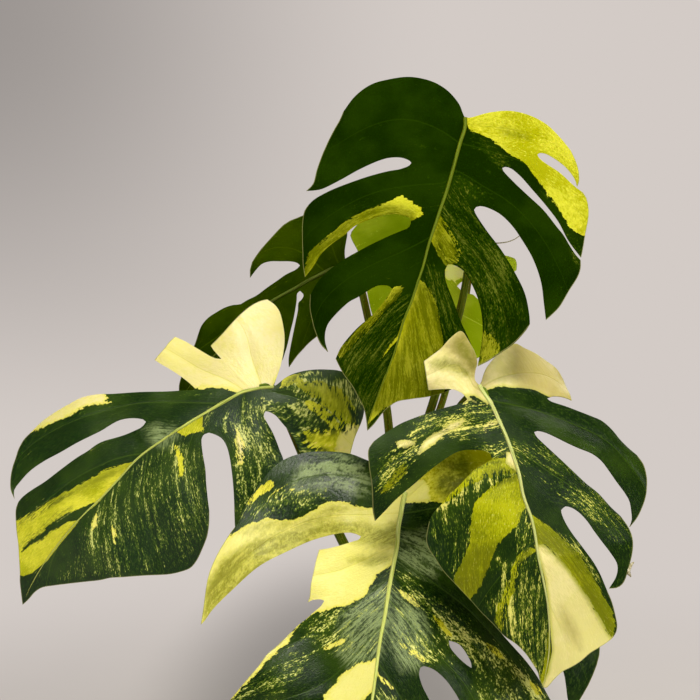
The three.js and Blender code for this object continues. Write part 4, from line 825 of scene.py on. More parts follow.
def smooth_line(points, steps=16):
    """A dense centripetal curve through drawn points."""
    p = np.array(points, float)
    if len(p) == 2:
        return np.linspace(p[0], p[1], steps + 1)
    p = np.vstack([2 * p[0] - p[1], p, 2 * p[-1] - p[-2]])
    gap = np.maximum(np.linalg.norm(np.diff(p, axis=0), axis=1) ** 0.5, 1e-4)
    t = np.linspace(0, 1, steps, endpoint=False)[:, None]
    spans = []
    for k in range(1, len(p) - 2):
        before, here, after = gap[k - 1:k + 2]
        a, b, c, d = p[k - 1:k + 3]
        leave = ((b - a) / before - (c - a) / (before + here) + (c - b) / here) * here
        arrive = ((c - b) / here - (d - b) / (here + after) + (d - c) / after) * here
        spans.append(b * (2 * t**3 - 3 * t**2 + 1) + leave * (t**3 - 2 * t**2 + t)
                     + c * (3 * t**2 - 2 * t**3) + arrive * (t**3 - t**2))
    return np.vstack([*spans, p[-2]])


def lengths_along(line):
    return np.concatenate([[0.0], np.cumsum(np.linalg.norm(np.diff(line, axis=0), axis=1))])


def at_lengths(line, where):
    reach = lengths_along(line)
    return np.stack([np.interp(where, reach, line[:, c]) for c in range(line.shape[1])], -1)


def spaced(points, count):
    """count + 1 evenly spaced points on the smooth line through drawn ones."""
    line = smooth_line(points)
    return at_lengths(line, np.linspace(0, lengths_along(line)[-1], count + 1))


def graded(stops, t):
    """Values at t in a list of (t, value) stops, carried on in line past both ends."""
    places, values = np.array(stops, float).T
    k = np.clip(np.searchsorted(places, t), 1, len(places) - 1)
    slope = (values[k] - values[k - 1]) / (places[k] - places[k - 1])
    return values[k - 1] + slope * (t - places[k - 1])


# Nets of points over the blades
class Midrib:
    """What the two halves of a blade share."""

    def __init__(self, leaf):
        self.line = smooth_line(leaf["midrib"], 30)
        self.length = lengths_along(self.line)[-1]
        run = np.array(leaf["midrib"][-1], float) - leaf["midrib"][0]
        self.span = np.linalg.norm(run)
        self.axis = run / self.span
        starts = {cut["at"] for half in leaf["halves"] for cut in half["cuts"]}
        knots = sorted({0.0, 1 - TIP_RUN} | starts)
        shares = [0.0]
        for low, high in zip(knots, knots[1:]):
            cells = max(LEAST_CELLS, round((high - low) * self.length / STATION_STEP))
            shares += list(np.linspace(low, high, cells + 1)[1:])
        self.shares = np.array(shares)

    def at(self, share):
        return at_lengths(self.line, np.clip(share, 0, 1) * self.length)


def cut_edge(midrib, cut, bank):
    """One edge of a finger: the seam, a bank of the cut and, past a hole, the closing seam."""
    seam = spaced([midrib.at(cut["at"]), *cut["seam"]], SEAM_RUNGS)
    root = cut["seam"][-1]
    if "close" not in cut:
        return np.vstack([seam, spaced([root, *bank], RUNGS - SEAM_RUNGS)[1:]])
    hole = spaced([root, *bank], HOLE_RUNGS)
    rest = spaced([bank[-1], *cut["close"]], RUNGS - SEAM_RUNGS - HOLE_RUNGS)
    return np.vstack([seam, hole[1:], rest[1:]])


def relaxed(net):
    """Evens out a net inside its fixed edges, so that none of its cells folds over."""
    for _ in range(NET_PASSES):
        du = (net[2:, 1:-1] - net[:-2, 1:-1]) / 2
        dv = (net[1:-1, 2:] - net[1:-1, :-2]) / 2
        a = (dv**2).sum(-1, keepdims=True)
        b = (du * dv).sum(-1, keepdims=True)
        c = (du**2).sum(-1, keepdims=True)
        cross = (net[2:, 2:] - net[2:, :-2] - net[:-2, 2:] + net[:-2, :-2]) / 4
        ring = a * (net[2:, 1:-1] + net[:-2, 1:-1]) + c * (net[1:-1, 2:] + net[1:-1, :-2])
        net[1:-1, 1:-1] = (ring - 2 * b * cross) / (2 * (a + c))
    return net


def stretched(near, far, inner, outer):
    """A net between four drawn edges: near and far run outwards, inner and outer along."""
    u = np.linspace(0, 1, len(near))[:, None, None]
    v = np.linspace(0, 1, len(inner))[None, :, None]
    sides = (1 - v) * near[:, None] + v * far[:, None]
    ends = (1 - u) * inner[None] + u * outer[None]
    corners = (1 - u) * ((1 - v) * near[0] + v * far[0]) + u * ((1 - v) * near[-1] + v * far[-1])
    return relaxed(sides + ends - corners)


def ripple(draws, x, y, length):
    """A sine wave over the plane, with its turn and phase drawn at random."""
    turn, phase = draws.uniform(0, 2 * math.pi, 2)
    return np.sin((x * math.cos(turn) + y * math.sin(turn)) * 2 * math.pi / length + phase)


def wave(x, y):
    """The slow waviness of a blade's surface."""
    draws = np.random.default_rng(SEED)
    total = np.zeros_like(x)
    for length, size in WAVES:
        total += size * ripple(draws, x, y, length)
    return total


def distance_to_line(points, line, closed=False):
    """Distance of every point to a line of straight steps."""
    line = np.array(line, float)
    ends = np.roll(line, -1, axis=0) if closed else line[1:]
    starts = line if closed else line[:-1]
    best = np.full(len(points), np.inf)
    for a, b in zip(starts, ends):
        run = b - a
        t = np.clip((points - a) @ run / max(run @ run, 1e-9), 0, 1)
        best = np.minimum(best, np.linalg.norm(points - a - t[:, None] * run, axis=1))
    return best


def inside(points, outline):
    x, y = points.T
    hit = np.zeros(len(points), bool)
    for (x0, y0), (x1, y1) in zip(outline, outline[1:] + outline[:1]):
        if y0 != y1:
            crosses = (y0 > y) != (y1 > y)
            hit ^= crosses & (x < (x1 - x0) * (y - y0) / (y1 - y0) + x0)
    return hit


def depth_into(points, outlines):
    """How far each point lies inside the nearest outline, negative outside, in millimetres."""
    best = np.full(len(points), -FAR_OUT)
    for outline in outlines:
        reach = distance_to_line(points, outline, closed=True)
        best = np.maximum(best, np.where(inside(points, outline), reach, -reach))
    return np.clip(best, -FAR_OUT, FAR_OUT)


def finger_net(midrib, half, k):
    """The net of one finger on the sheet, the shares of the midrib it spans, and its outer edge."""
    cuts = half["cuts"]
    last = k == len(cuts)
    start = cuts[k - 1]["at"] if k else 0.0
    end = 1 - TIP_RUN if last else cuts[k]["at"]
    shares = midrib.shares[(midrib.shares > start - 1e-6) & (midrib.shares < end + 1e-6)]
    if k:
        near = cut_edge(midrib, cuts[k - 1], cuts[k - 1]["far"])
    else:
        near = spaced([midrib.at(0.0), *half["shoulder"]], RUNGS)
    if last:
        far = midrib.at(end + TIP_RUN * np.arange(RUNGS + 1) / RUNGS)
    else:
        far = cut_edge(midrib, cuts[k], cuts[k]["near"])
    outer = spaced([near[-1], *half["margins"][k], far[-1]], len(shares) - 1)
    return stretched(near, far, midrib.at(shares), outer), shares, outer


def rib_distance(net, outer, u):
    """Distance of a finger's points from its lateral ribs, which narrow outwards."""
    columns = net.shape[1]
    count = max(1, round(lengths_along(outer)[-1] / VEIN_STEP))
    veins = [(j + 0.5) / count * (columns - 1) for j in range(count)]
    lines = [net[:, int(c)] * (1 - c % 1) + net[:, min(int(c) + 1, columns - 1)] * (c % 1)
             for c in veins]
    flat = net.reshape(-1, 2)
    rib = np.min([distance_to_line(flat, line) for line in lines], axis=0)
    return rib.reshape(net.shape[:2]) / (1 - VEIN_TAPER * u)


def finger(leaf, midrib, half, k):
    """The net of one finger: sheet points, depths, and what the material reads at each."""
    net, shares, outer = finger_net(midrib, half, k)
    last = k == len(half["cuts"])
    rung = np.arange(RUNGS + 1)[:, None]
    u = rung / RUNGS
    v = np.linspace(0, 1, len(shares))[None, :]
    share = shares[None, :] + (v * u * TIP_RUN if last else 0 * u)
    offset = net - midrib.at(share)
    side = np.abs(offset[..., 0] * midrib.axis[1] - offset[..., 1] * midrib.axis[0])
    rib = rib_distance(net, outer, u)
    flat = net.reshape(-1, 2)

    free = np.clip((rung - SEAM_RUNGS) / (RUNGS - SEAM_RUNGS), 0, None)
    depth = graded(leaf["depth"], share + offset @ midrib.axis / midrib.span)
    depth += graded(half["lean"], share) * side + graded(half["curl"], share) * side**2
    depth += half.get("lifts", [0] * 9)[k] * free**2
    falling = np.clip(1 - 2 * v, 0, 1) if last else 1 - 2 * v
    depth += FINGER_CUP * free * falling**2
    depth += wave(net[..., 0], net[..., 1]) * np.clip(side / WAVE_RISE, 0, 1)
    rise = np.clip(side / QUILT_RISE, 0, 1)
    depth += VEIN_SINK * np.exp(-((rib / VEIN_WIDTH) ** 2)) * (1 - u) * rise
    depth -= QUILT * (1 - np.exp(-((rib / QUILT_WIDTH) ** 2))) * rise
    for crease in leaf.get("creases", []):
        away = distance_to_line(flat, crease).reshape(side.shape)
        depth -= CREASE_HEIGHT * np.exp(-((away / CREASE_WIDTH) ** 2))

    outward = np.concatenate([0 * v, np.cumsum(np.linalg.norm(np.diff(net, axis=0), axis=2), 0)])
    along = (shares[None, :] + 0 * u) * midrib.length
    slant = half.get("slant", 0) * (SLANT_START + SLANT_GAIN * v) if last else 0
    fields = {
        "rib": rib,
        "side": side,
        "across": (along - slant * outward) / np.hypot(1, slant),
        "outward": (outward + slant * along) / np.hypot(1, slant),
        "edge": distance_to_line(flat, outer).reshape(side.shape),
    }
    return net, depth, fields


def grid_quads(first, rows, columns):
    number = first + np.arange(rows * columns).reshape(rows, columns)
    corners = [number[:-1, :-1], number[:-1, 1:], number[1:, 1:], number[1:, :-1]]
    return np.stack(corners, -1).reshape(-1, 4)


def tint_fields(flat, tints):
    """Signed depths of points into the outlines of each kind. Dark ones cut cream and yellow."""
    fields = {kind: depth_into(flat, tints.get(kind, [])) for kind in KINDS}
    plain = -depth_into(flat, tints.get("dark", []))
    for kind in ("cream", "yellow"):
        fields[kind] = np.minimum(fields[kind], plain)
    return fields


def sheet_of(leaf, tints):
    """Shared points, faces that look at the viewer, and the material's fields for a blade."""
    midrib = Midrib(leaf)
    points, depths, quads, fields = [], [], [], []
    total = 0
    for half in leaf["halves"]:
        mine = []
        for k in range(len(half["cuts"]) + 1):
            net, depth, read = finger(leaf, midrib, half, k)
            mine.append(grid_quads(total, *depth.shape))
            total += depth.size
            points.append(net.reshape(-1, 2))
            depths.append(depth.ravel())
            fields.append({name: value.ravel() for name, value in read.items()})
        mine = np.vstack(mine)
        x, y = np.vstack(points)[mine].transpose(2, 0, 1)
        turn = (x * np.roll(y, -1, 1) - np.roll(x, -1, 1) * y).sum()
        quads.append(mine[:, ::-1] if turn > 0 else mine)

    flat = np.vstack(points)
    places = np.round(flat * MERGE_PARTS).astype(int)
    _, first, shared = np.unique(places, axis=0, return_index=True, return_inverse=True)
    shared = shared.ravel()
    fields = {name: np.concatenate([f[name] for f in fields]) for name in fields[0]}
    nearest_rib = np.full(len(first), np.inf)
    np.minimum.at(nearest_rib, shared, fields["rib"])
    fields = {name: value[first] for name, value in fields.items()}
    fields["rib"] = nearest_rib
    fields.update(tint_fields(flat[first], tints))
    space = from_sheet(*flat[first].T, np.concatenate(depths)[first])
    return space, shared[np.vstack(quads)], fields


def normals_of(points, quads):
    a, b, c, d = (points[quads[:, k]] for k in range(4))
    faces = np.cross(c - a, d - b)
    normals = np.zeros_like(points)
    for k in range(4):
        np.add.at(normals, quads[:, k], faces)
    return normals / np.maximum(np.linalg.norm(normals, axis=1, keepdims=True), 1e-9)


def thickened(points, quads, thickness):
    """A closed shell about a sheet: points, quads, with the front layer first."""
    normals = normals_of(points, quads)
    layers = np.vstack([points + normals * thickness / 2, points - normals * thickness / 2])
    count = len(points)
    edges = np.vstack([quads[:, [k, (k + 1) % 4]] for k in range(4)])
    edges = edges[edges[:, 0] != edges[:, 1]]
    there = edges[:, 0] * count + edges[:, 1]
    back = edges[:, 1] * count + edges[:, 0]
    p, q = edges[~np.isin(there, back)].T
    rim = np.stack([q, p, p + count, q + count], -1)
    return layers, np.vstack([quads, quads[:, ::-1] + count, rim])


# Round forms
def carried_frames(line):
    """Two directions across a line at each of its points, carried along without twist."""
    run = np.gradient(line, axis=0)
    run /= np.linalg.norm(run, axis=1, keepdims=True)
    aside = np.cross(run[0], (0.3, 0.9, 0.1))
    sides = []
    for tangent in run:
        aside = aside - tangent * (aside @ tangent)
        aside /= np.linalg.norm(aside)
        sides.append(aside)
    sides = np.array(sides)
    return sides, np.cross(run, sides)


def closed_rings(rings, sides):
    """Faces of a stack of rings, with both ends closed on two points that come after them."""
    number = np.arange(rings * sides).reshape(rings, sides)
    beside = np.roll(number, -1, axis=1)
    quads = np.stack([number[:-1], beside[:-1], beside[1:], number[1:]], -1).reshape(-1, 4)
    low, high = number.size, number.size + 1
    ends = [[low, b, a, a] for a, b in zip(number[0], beside[0])]
    ends += [[high, a, b, b] for a, b in zip(number[-1], beside[-1])]
    return np.vstack([quads, ends])


def tube(line, radius, sides, rings):
    """A closed round stalk on a smooth line; radius is a function of share and turn."""
    dense = smooth_line(line)
    line = at_lengths(dense, np.linspace(0, lengths_along(dense)[-1], rings + 1))
    right, up = carried_frames(line)
    share = np.linspace(0, 1, rings + 1)[:, None]
    turn = np.linspace(0, 2 * math.pi, sides, endpoint=False)[None, :]
    reach = np.broadcast_to(radius(share, turn), (rings + 1, sides))[..., None]
    ring = line[:, None] + reach * (right[:, None] * np.cos(turn)[..., None]
                                    + up[:, None] * np.sin(turn)[..., None])
    points = np.vstack([ring.reshape(-1, 3), line[0], line[-1]])
    run = lengths_along(line)
    fields = {
        "outward": np.append(np.repeat(run, sides), [0, run[-1]]),
        "across": np.append(np.tile(turn[0] * 10, rings + 1), [0, 0]),
    }
    return points, closed_rings(rings + 1, sides), fields


def lathe(profile, sides):
    """Closed surface turned about +Z from (radius, height) points that start and end on it."""
    turn = np.linspace(0, 2 * math.pi, sides, endpoint=False)
    middle = np.array(profile[1:-1], float)
    ring = np.stack([middle[:, :1] * np.cos(turn), middle[:, :1] * np.sin(turn),
                     np.broadcast_to(middle[:, 1:], (len(middle), sides))], -1)
    points = np.vstack([ring.reshape(-1, 3), [0, 0, profile[0][1]], [0, 0, profile[-1][1]]])
    return points, closed_rings(len(middle), sides)


def rounded(start, corner, end, steps=6):
    """Points on an arc-like bend from start to end round a corner."""
    t = np.linspace(0, 1, steps + 1)[:, None]
    a, b, c = (np.array(p, float) for p in (start, corner, end))
    return ((1 - t) ** 2 * a + 2 * t * (1 - t) * b + t**2 * c).tolist()


# Objects from points
class Build:
    """Gathers parts of one piece, each with its material, into one mesh."""

    def __init__(self):
        self.points, self.faces, self.slots, self.fields = [], [], [], []
        self.materials = []
        self.total = 0

    def add(self, material, points, quads, fields=None):
        if material not in self.materials:
            self.materials.append(material)
        self.points.append(points)
        self.faces.append(np.asarray(quads) + self.total)
        self.slots.append(np.full(len(quads), self.materials.index(material)))
        self.fields.append((len(points), fields or {}))
        self.total += len(points)

    def finish(self, name, sharp=50):
        mesh = bpy.data.meshes.new(name)
        faces = [list(dict.fromkeys(quad)) for quad in np.vstack(self.faces).tolist()]
        slots = np.concatenate(self.slots)[[len(face) > 2 for face in faces]]
        faces = [face for face in faces if len(face) > 2]
        mesh.from_pydata((np.vstack(self.points) * MILLIMETRE).tolist(), [], faces)
        mesh.polygons.foreach_set("material_index", slots.astype(np.int32))
        for field in FIELDS:
            values = [f.get(field, np.zeros(count)) for count, f in self.fields]
            layer = mesh.attributes.new(field, "FLOAT", "POINT")
            layer.data.foreach_set("value", np.concatenate(values).astype(np.float32))
        for material in self.materials:
            mesh.materials.append(material)
        mesh.shade_smooth()
        mesh.set_sharp_from_angle(angle=math.radians(sharp))
        mesh.validate()
        piece = bpy.data.objects.new(name, mesh)
        bpy.context.collection.objects.link(piece)
        return piece


def single_piece(name, material, *shape, sharp=50):
    """A piece of one part and one material; shape is its points, quads and fields."""
    build = Build()
    build.add(material, *shape)
    return build.finish(name, sharp)


# Materials
def srgb(red, green, blue):
    """A display colour from 0 to 255 as the linear colour that shaders take."""
    linear = [c / 12.92 if c < 0.04045 else ((c + 0.055) / 1.055) ** 2.4
              for c in (red / 255, green / 255, blue / 255)]
    return (*linear, 1.0)


SURROUND = srgb(211, 203, 198)
# The pale grey-green of painted sheen.
PAINTED_SHEEN_GREEN = srgb(136, 152, 98)
# The dull tan of painted shade on cream.
PAINTED_SHADE_TAN = srgb(150, 134, 72)
MARGIN = srgb(134, 134, 78)

# What most blades share: how ripe their marbling is, their gloss and roughness, how much light
# they let through, how evenly the olive, which also paints shade, covers gold, and how strong
# their fine grain is.
PLAIN_SKIN = {"ripeness": 0.0, "gloss": 0.0, "rough": 0.45, "soft": 0.12, "even": 0.45, "grainy": 0.0}
# Each blade's colours on the display, of which olive is also the colour of painted shade, and
# where it isn't plain.
SKINS = {
    "leaf_top": {
        "deep": (14, 31, 0), "light": (34, 55, 2), "lime": (152, 151, 10), "yellow": (191, 189, 50),
        "cream": (214, 212, 90), "olive": (82, 86, 3), "dim": (44, 54, 2), "bright": (84, 94, 26),
        "even": 0.66, "grainy": 0.1},
    "leaf_right": {
        "deep": (14, 34, 2), "light": (60, 84, 14), "lime": (114, 120, 0), "yellow": (172, 174, 6),
        "cream": (236, 224, 152), "olive": (104, 106, 4), "dim": (106, 120, 14),
        "bright": (222, 216, 110), "gloss": 0.1, "rough": 0.38, "grainy": 0.4},
    "leaf_front": {
        "deep": (12, 34, 2), "light": (62, 86, 16), "lime": (170, 164, 4), "yellow": (226, 220, 70),
        "cream": (240, 234, 132), "olive": (108, 108, 10), "dim": (110, 124, 30),
        "bright": (228, 230, 130), "ripeness": 0.2, "gloss": 0.16, "rough": 0.3, "grainy": 0.5},
    "leaf_left": {
        "deep": (16, 40, 4), "light": (64, 88, 18), "lime": (168, 170, 0), "yellow": (226, 222, 60),
        "cream": (243, 230, 150), "olive": (140, 142, 20), "dim": (104, 120, 36),
        "bright": (214, 218, 124), "ripeness": 0.1, "gloss": 0.3, "rough": 0.36, "grainy": 0.4},
    "leaf_back": {
        "deep": (30, 46, 0), "light": (66, 82, 2), "lime": (140, 140, 20), "yellow": (170, 170, 50),
        "cream": (190, 190, 90), "olive": (110, 112, 20), "dim": (80, 90, 20),
        "bright": (140, 150, 60)},
    "leaf_young": {
        "deep": (150, 166, 12), "light": (212, 222, 76), "lime": (214, 218, 70),
        "yellow": (236, 240, 130), "cream": (252, 255, 186), "olive": (110, 112, 20),
        "dim": (214, 222, 80), "bright": (236, 240, 130), "gloss": 0.05, "rough": 0.4, "soft": 0.6},
}
# Each midrib's two greens, and how far it stands out in front as a share of its radius.
RIBS = {
    "leaf_top": ((66, 80, 0), (112, 122, 22), 0.75),
    "leaf_right": ((156, 166, 68), (232, 226, 148), 0.75),
    "leaf_front": ((176, 186, 66), (242, 240, 140), 0.9),
    "leaf_left": ((146, 158, 60), (222, 222, 116), 0.6),
    "leaf_back": ((70, 84, 20), (112, 122, 48), 0.75),
    "leaf_young": ((150, 164, 40), (196, 206, 90), 0.8),
}


class Shades:
    """A short hand for wiring one material's nodes. Only the mesh's fields are in millimetres."""

    def __init__(self, name):
        self.material = bpy.data.materials.new(name)
        self.material.use_nodes = True
        self.tree = self.material.node_tree
        self.surface = self.tree.nodes["Principled BSDF"]

    def wire(self, value, socket):
        if isinstance(value, bpy.types.NodeSocket):
            self.tree.links.new(value, socket)
        else:
            socket.default_value = value

    def wired(self, kind, values, operation=None):
        """A node of one kind with values on its first sockets."""
        node = self.tree.nodes.new(kind)
        if operation:
            node.operation = operation
        for value, socket in zip(values, node.inputs):
            self.wire(value, socket)
        return node

    def field(self, name):
        node = self.tree.nodes.new("ShaderNodeAttribute")
        node.attribute_name = name
        return node.outputs["Fac"]

    def place(self):
        return self.tree.nodes.new("ShaderNodeTexCoord").outputs["Object"]

    def math(self, operation, *values):
        return self.wired("ShaderNodeMath", values, operation).outputs[0]

    def times(self, first, second):
        return self.math("MULTIPLY", first, second)

    def scaled(self, value, factor, shift):
        return self.math("MULTIPLY_ADD", value, factor, shift)

    def total(self, *values):
        result = values[0]
        for value in values[1:]:
            result = self.math("ADD", result, value)
        return result

    def vector(self, x, y, z=0.0):
        return self.wired("ShaderNodeCombineXYZ", (x, y, z)).outputs[0]

    def vector_math(self, operation, *values, output="Vector"):
        return self.wired("ShaderNodeVectorMath", values, operation).outputs[output]

    def step(self, value, low, high, start=0.0, end=1.0):
        """Runs smoothly from start to end while value goes from low to high."""
        node = self.tree.nodes.new("ShaderNodeMapRange")
        node.interpolation_type = "SMOOTHSTEP"
        node.clamp = True
        for item, name in ((value, "Value"), (low, "From Min"), (high, "From Max"),
                           (start, "To Min"), (end, "To Max")):
            self.wire(item, node.inputs[name])
        return node.outputs["Result"]

    def noise(self, vector, scale, detail=2.0, rough=0.5):
        node = self.tree.nodes.new("ShaderNodeTexNoise")
        for value, name in ((vector, "Vector"), (scale, "Scale"), (detail, "Detail"),
                            (rough, "Roughness")):
            self.wire(value, node.inputs[name])
        return node.outputs["Fac"]

    def lengthwise(self, across, outward, detail, rough=0.5):
        """Noise drawn out along a stalk or rib."""
        vector = self.vector(self.times(self.field("across"), across),
                             self.times(self.field("outward"), outward))
        return self.noise(vector, 1.0, detail, rough)

    def cells(self, vector, scale):
        node = self.tree.nodes.new("ShaderNodeTexVoronoi")
        self.wire(vector, node.inputs["Vector"])
        node.inputs["Scale"].default_value = scale
        return node.outputs["Distance"]

    def mix(self, factor, first, second):
        node = self.tree.nodes.new("ShaderNodeMix")
        node.data_type = "RGBA"
        self.wire(factor, node.inputs["Factor"])
        for colour, name in ((first, "A"), (second, "B")):
            socket = next(s for s in node.inputs if s.name == name and s.type == "RGBA")
            self.wire(colour, socket)
        return next(s for s in node.outputs if s.type == "RGBA")

    def bump(self, height, strength, distance):
        node = self.tree.nodes.new("ShaderNodeBump")
        node.inputs["Strength"].default_value = strength
        node.inputs["Distance"].default_value = distance
        self.wire(height, node.inputs["Height"])
        self.wire(node.outputs["Normal"], self.surface.inputs["Normal"])

    def finish(self, colour, rough, **settings):
        self.wire(colour, self.surface.inputs["Base Color"])
        self.wire(rough, self.surface.inputs["Roughness"])
        for name, value in settings.items():
            self.wire(value, self.surface.inputs[name.replace("_", " ")])
        return self.material


class BladeSkin(Shades):
    """Living blade: green with ragged cream and yellow sectors, streaks and flecks."""

    def __init__(self, name, look):
        super().__init__(name)
        self.look = {**PLAIN_SKIN, **look}
        place = self.place()
        self.band = self.streaks(8.0, 60.0)
        self.streak = self.streaks(3.4, 26.0)
        self.fleck = self.streaks(1.5, 6.2)
        self.speck = self.streaks(0.85, 2.4)
        self.cloud = self.noise(place, 22.0, 3.0, 0.5)
        self.fine = self.scaled(self.fleck, 0.5, self.times(self.speck, 0.5))
        jag = self.noise(place, 240.0, 3.0, 0.6)
        self.ragged = self.total(self.scaled(self.streak, 6.0, -3.0), self.scaled(jag, 5.0, -2.5),
                                 self.scaled(self.fine, 4.0, -2.0))
        self.away = self.step(self.field("side"), 1.0, 9.0, 0.15, 1.0)
        # Borders are less ragged near the midrib and inside the tan painted shade.
        calm = self.times(self.away, self.step(self.field("tan"), 0.0, -16.0, 0.2, 1.0))
        wander = self.times(self.ragged, calm)
        self.pale = self.total(self.field("cream"), wander)
        self.gold = self.total(self.field("yellow"), wander)
        self.creamy = self.step(self.pale, -0.4, 0.4)
        self.marbled = self.zone("marbled", 2.0, -6.0, 5.0)
        self.line = self.step(self.field("rib"), 1.3, 0.4)
        self.ripe = self.ripening()

    def ink(self, name):
        return srgb(*self.look[name])

    def streaks(self, wide, long):
        """Noise drawn out along the veins, for streaks of one width and length."""
        across = self.math("DIVIDE", self.field("across"), wide)
        along = self.math("DIVIDE", self.field("outward"), long)
        return self.noise(self.vector(across, along), 1.0, 2.0, 0.6)

    def zone(self, kind, jagged, low, high, end=1.0):
        """Rises to end inside the outlines of one kind, across a ragged border."""
        return self.step(self.scaled(self.ragged, jagged, self.field(kind)), low, high, 0.0, end)

    def ripening(self):
        """Over zero where green turns pale: streaks and flecks of noise, and the zone's own part."""
        mixture = self.total(self.times(self.band, 6.0), self.times(self.streak, 4.5),
                             self.times(self.fleck, 6.0), self.times(self.speck, 6.5))
        near = self.step(self.math("MAXIMUM", self.pale, self.gold), -10.0, 0.0)
        sparse = self.zone("flecked", 2.0, -6.0, 5.0)
        lift = self.total(-11.5 - BARREN + self.look["ripeness"], self.scaled(self.cloud, 3.0, -1.5),
                          self.times(self.marbled, RIPE), self.times(sparse, HALF_RIPE),
                          self.times(near, 0.4))
        return self.math("ADD", mixture, lift)

    def cover(self):
        """Where the sectors are, with green holes in them where they are marbled."""
        sector = self.math("MAXIMUM", self.creamy, self.step(self.gold, -0.4, 0.4))
        reach = self.math("MAXIMUM", self.field("cream"), self.field("yellow"))
        loose = self.math("SUBTRACT", 1.0, self.step(reach, 3.0, 8.0))
        open_zone = self.times(self.marbled, self.times(loose, self.away))
        holes = self.times(self.step(self.ripe, -0.3, -0.8), open_zone)
        return self.times(sector, self.math("SUBTRACT", 1.0, holes))

    def green(self):
        """Mottled green with streaked patches of painted sheen, pale veins and ripening flecks."""
        light, dim, bright = self.ink("light"), self.ink("dim"), self.ink("bright")
        tone = self.times(self.step(self.cloud, 0.38, 0.64), 0.4)
        tone = self.math("MAXIMUM", tone, self.step(self.ripe, -1.5, -0.2))
        grain = self.times(self.step(self.fine, 0.5, 0.6), self.look["grainy"])
        green = self.mix(self.math("MAXIMUM", tone, grain), self.ink("deep"), light)
        # Painted sheen: pale grey-green inside the silver outlines, broken up by streaks.
        sheen = self.step(self.total(self.streak, self.fine), 0.84, 1.12, 0.12, 1.0)
        green = self.mix(self.times(self.zone("silver", 1.5, -8.0, 8.0), sheen), green, PAINTED_SHEEN_GREEN)
        green = self.mix(self.times(self.line, 0.5), green, light)
        green = self.mix(self.step(self.ripe, -0.3, 0.2), green, dim)
        green = self.mix(self.step(self.ripe, 0.1, 0.7), green, self.mix(0.5, dim, bright))
        return self.mix(self.step(self.ripe, 0.6, 1.3), green, bright)

    def warm(self):
        """The yellow and cream of the sectors, dulled to olive by olive tissue and by painted shade, and
        darkened to tan by painted shade.
        """
        yellow, cream, olive = self.ink("yellow"), self.ink("cream"), self.ink("olive")
        drift = self.total(self.cloud, self.scaled(self.fine, 1.0, -0.5))
        gilt = self.mix(self.step(drift, 0.34, 0.66), self.ink("lime"), yellow)
        gilt = self.mix(self.times(self.step(self.fine, 0.58, 0.68), 0.5), gilt, cream)
        drift = self.total(self.cloud, self.scaled(self.fleck, 0.8, -0.4))
        ivory = self.mix(self.step(drift, 0.34, 0.62), self.mix(0.24, cream, yellow), cream)
        ivory = self.mix(self.times(self.line, 0.3), ivory, yellow)
        ivory = self.mix(self.step(self.pale, 4.0, 0.5), ivory, self.mix(0.6, cream, yellow))
        # The olive zones are partly olive tissue and partly painted shade, where a blade or a curl shades
        # a sector.
        dulled = self.zone("olive", 1.5, -6.0, 6.0)
        ivory = self.mix(self.times(dulled, 0.5), ivory, gilt)
        # Painted shade: cream darkened towards tan inside the tan outlines.
        ivory = self.mix(self.zone("tan", 1.0, -8.0, 10.0, 0.75), ivory, PAINTED_SHADE_TAN)
        drift = self.total(self.band, self.streak, self.fine)
        patchy = self.times(dulled, self.step(drift, 1.74, 1.32, self.look["even"], 1.0))
        return self.mix(self.creamy, self.mix(patchy, gilt, olive),
                        self.mix(self.times(patchy, 0.75), ivory, olive))

    def finished(self):
        cover = self.cover()
        colour = self.mix(cover, self.green(), self.warm())
        colour = self.mix(self.times(self.step(self.field("edge"), 0.9, 0.3), 0.6), colour, MARGIN)
        height = self.total(self.times(self.band, 0.3), self.times(self.streak, 0.4),
                            self.times(self.fleck, 0.6), self.times(self.speck, 0.5),
                            self.times(self.line, -0.4))
        self.bump(height, 0.6, 0.001)
        return self.finish(colour, self.scaled(self.fine, 0.3, self.look["rough"] - 0.15),
                           Specular_IOR_Level=self.look["gloss"],
                           Subsurface_Weight=self.scaled(cover, 0.35, self.look["soft"]),
                           Subsurface_Radius=(0.004, 0.005, 0.0015), Subsurface_Scale=1.0)


def rib_material(name, green, pale):
    """Midrib, paler than the blade and finely grooved."""
    s = Shades(name)
    grain = s.lengthwise(0.6, 0.05, 3.0)
    s.bump(grain, 0.3, 0.0005)
    return s.finish(s.mix(s.step(grain, 0.35, 0.65), srgb(*green), srgb(*pale)), 0.42,
                    Specular_IOR_Level=0.06, Subsurface_Weight=0.15)


def stalk_material():
    s = Shades("petiole_skin")
    grain = s.lengthwise(0.35, 0.03, 4.0, 0.6)
    spots = s.noise(s.place(), 320.0, 3.0)
    green = s.mix(s.step(grain, 0.35, 0.68), srgb(60, 84, 4), srgb(114, 138, 30))
    colour = s.mix(s.times(s.step(spots, 0.62, 0.7), 0.4), green, srgb(164, 172, 84))
    s.bump(s.total(grain, s.times(spots, 0.4)), 0.3, 0.0006)
    return s.finish(colour, s.scaled(grain, 0.2, 0.4), Specular_IOR_Level=0.06,
                    Subsurface_Weight=0.1)


def bark_material():
    s = Shades("cane_bark")
    grain = s.lengthwise(0.25, 0.2, 5.0, 0.65)
    blotch = s.noise(s.place(), 60.0, 4.0)
    brown = s.mix(s.step(grain, 0.3, 0.7), srgb(74, 62, 38), srgb(132, 116, 76))
    colour = s.mix(s.step(blotch, 0.44, 0.6), brown, srgb(86, 98, 48))
    s.bump(grain, 0.7, 0.0015)
    return s.finish(colour, s.scaled(grain, 0.3, 0.5))


